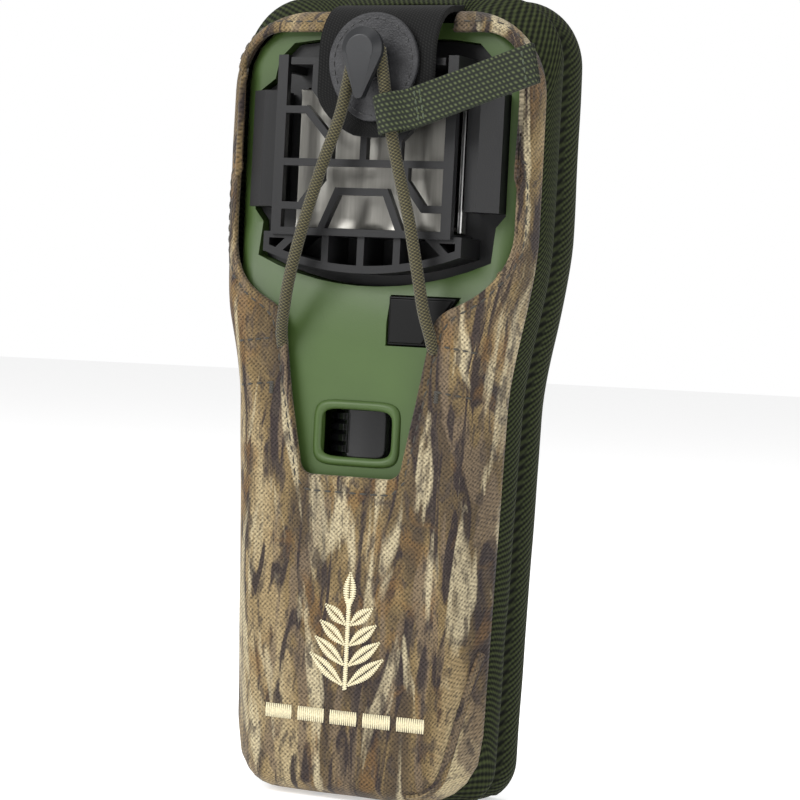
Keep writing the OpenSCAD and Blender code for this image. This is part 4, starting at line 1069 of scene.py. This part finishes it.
# The elastic runs from one anchor up the left leg, over the hook and down the right leg to the other
CORD_R, CORD_TOP_Y = 1.5, -29.2
cord_points = [(-20.7, -19.4, 112.0), (-20.2, -21.2, 116.2), (-18.6, -23.4, 122.0), (-16.7, -24.8, 130),
               (-12.6, -26.6, 143), (-7.4, -28.4, 157), (-2.9, CORD_TOP_Y, 169)]
cord_points += [(3.5 + 3.7 * math.cos(math.radians(a)), CORD_TOP_Y, 183.0 + 3.7 * math.sin(math.radians(a)))
                for a in (180, 150, 120, 90, 60, 30, 0)]
cord_points += [(9.9, CORD_TOP_Y, 169), (12.6, -28.4, 157), (15.8, -26.6, 143), (18.0, -24.8, 130),
                (19.2, -23.4, 122.0), (20.2, -21.2, 116.2), (20.7, -19.4, 112.0)]


def smooth_line(points, steps):
    line = [along_curve(points, i, k / steps) for i in range(len(points) - 1) for k in range(steps)]
    return line + [Vector(points[-1])]


def tube(line, radius, sides):
    """A closed tube along a line, with its flat map wound round it."""
    reach = reach_of(line)

    def spot(around, along):
        i = round(along * (len(line) - 1))
        way = (line[min(i + 1, len(line) - 1)] - line[max(i - 1, 0)]).normalized()
        side = way.cross(Vector((0, 1, 0))).normalized()
        rise = side.cross(way)
        angle = 2 * math.pi * around
        return (line[i] + (side * math.cos(angle) + rise * math.sin(angle)) * radius,
                (around * 2 * math.pi * radius, reach[i]))
    bm = draped(sides, len(line) - 1, spot)
    bmesh.ops.holes_fill(bm, edges=[e for e in bm.edges if e.is_boundary], sides=0)
    bmesh.ops.recalc_face_normals(bm, faces=bm.faces)
    return bm


cord_piece = place(tube(smooth_line(cord_points, 6), CORD_R, 16), "elastic_loop", None, ELASTIC, "elastic_cord",
                   ("closure_cord",))
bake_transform(cord_piece)

# The tab is one strip folded round the cord's right leg and sewn to itself
TAB = Vector((9.9, CORD_TOP_Y, 169.0))
TAB_W, TAB_SWEEP = 9.6, 0.115
TAB_TILT = math.radians(13)
tab_way = Vector((math.cos(TAB_TILT), 0, math.sin(TAB_TILT)))
tab_up = Vector((-math.sin(TAB_TILT), 0, math.cos(TAB_TILT)))


def on_tab(s, n=0.0, w=0.0):
    """A place on the tab: s along it, n in front of or behind it, w across it. It sweeps up a little."""
    return TAB + tab_way * s + tab_up * (w + TAB_SWEEP * max(0.0, s - 7)) + Vector((0, n, 0))


tab_route = [on_tab(s, n) for s, n in
             ((39.8, -0.62), (33, -0.64), (24, -0.63), (14, -0.65), (6.5, -0.75), (3.6, -1.5), (1.6, -2.3),
              (0, -2.5), (-1.85, -1.8), (-2.6, 0), (-1.85, 1.8), (0, 2.5), (1.6, 2.3), (3.6, 1.5), (6.5, 0.75),
              (14, 0.65), (24, 0.63), (33, 0.64), (39.8, 0.62))]
tab_piece = place(strip(tab_route, TAB_W, tab_up, 10), "pull_strap", "pull_tab", TAB_WEBBING, "tab_webbing",
                  ("pull_tab",))
thicken(tab_piece, 1.0, 0.0)
round_edges(tab_piece, 0.35, 2, 50)
tab_thread = bmesh.new()
for s in (8.2, 9.6, 37.0):
    sew(tab_thread, [on_tab(s, -1.2, w) for w in (-3.9, 3.9)], length=1.6, pitch=2.0)
place(tab_thread, "pull_strap_stitching", "pull_tab", GREEN_THREAD, "tab_webbing")

# ---- Floor ----
FLOOR_R = 6000.0
floor = bmesh.new()
bmesh.ops.create_circle(floor, cap_ends=True, radius=FLOOR_R, segments=64)
floor_material, floor_tree, floor_shader, floor_coords = begin("studio_paper_white", Roughness=0.9,
                                                               Emission_Color=grey(1), Emission_Strength=0.5)
mottle = speckle(floor_tree, floor_coords.outputs["Object"], 3.0)
paper = put(floor_tree, "ShaderNodeValToRGB", {"Fac": mottle},
            stops=[(0.0, colour_of("#f6f6f6")), (1.0, colour_of("#ffffff"))])
floor_tree.links.new(paper.outputs[0], floor_shader.inputs["Base Color"])
bmesh.ops.scale(floor, vec=(MM, MM, MM), verts=floor.verts)
floor_mesh = bpy.data.meshes.new("studio_floor")
floor.to_mesh(floor_mesh)
floor.free()
floor_mesh.materials.append(floor_material)
floor_piece = bpy.data.objects.new("studio_floor", floor_mesh)
scene.collection.objects.link(floor_piece)
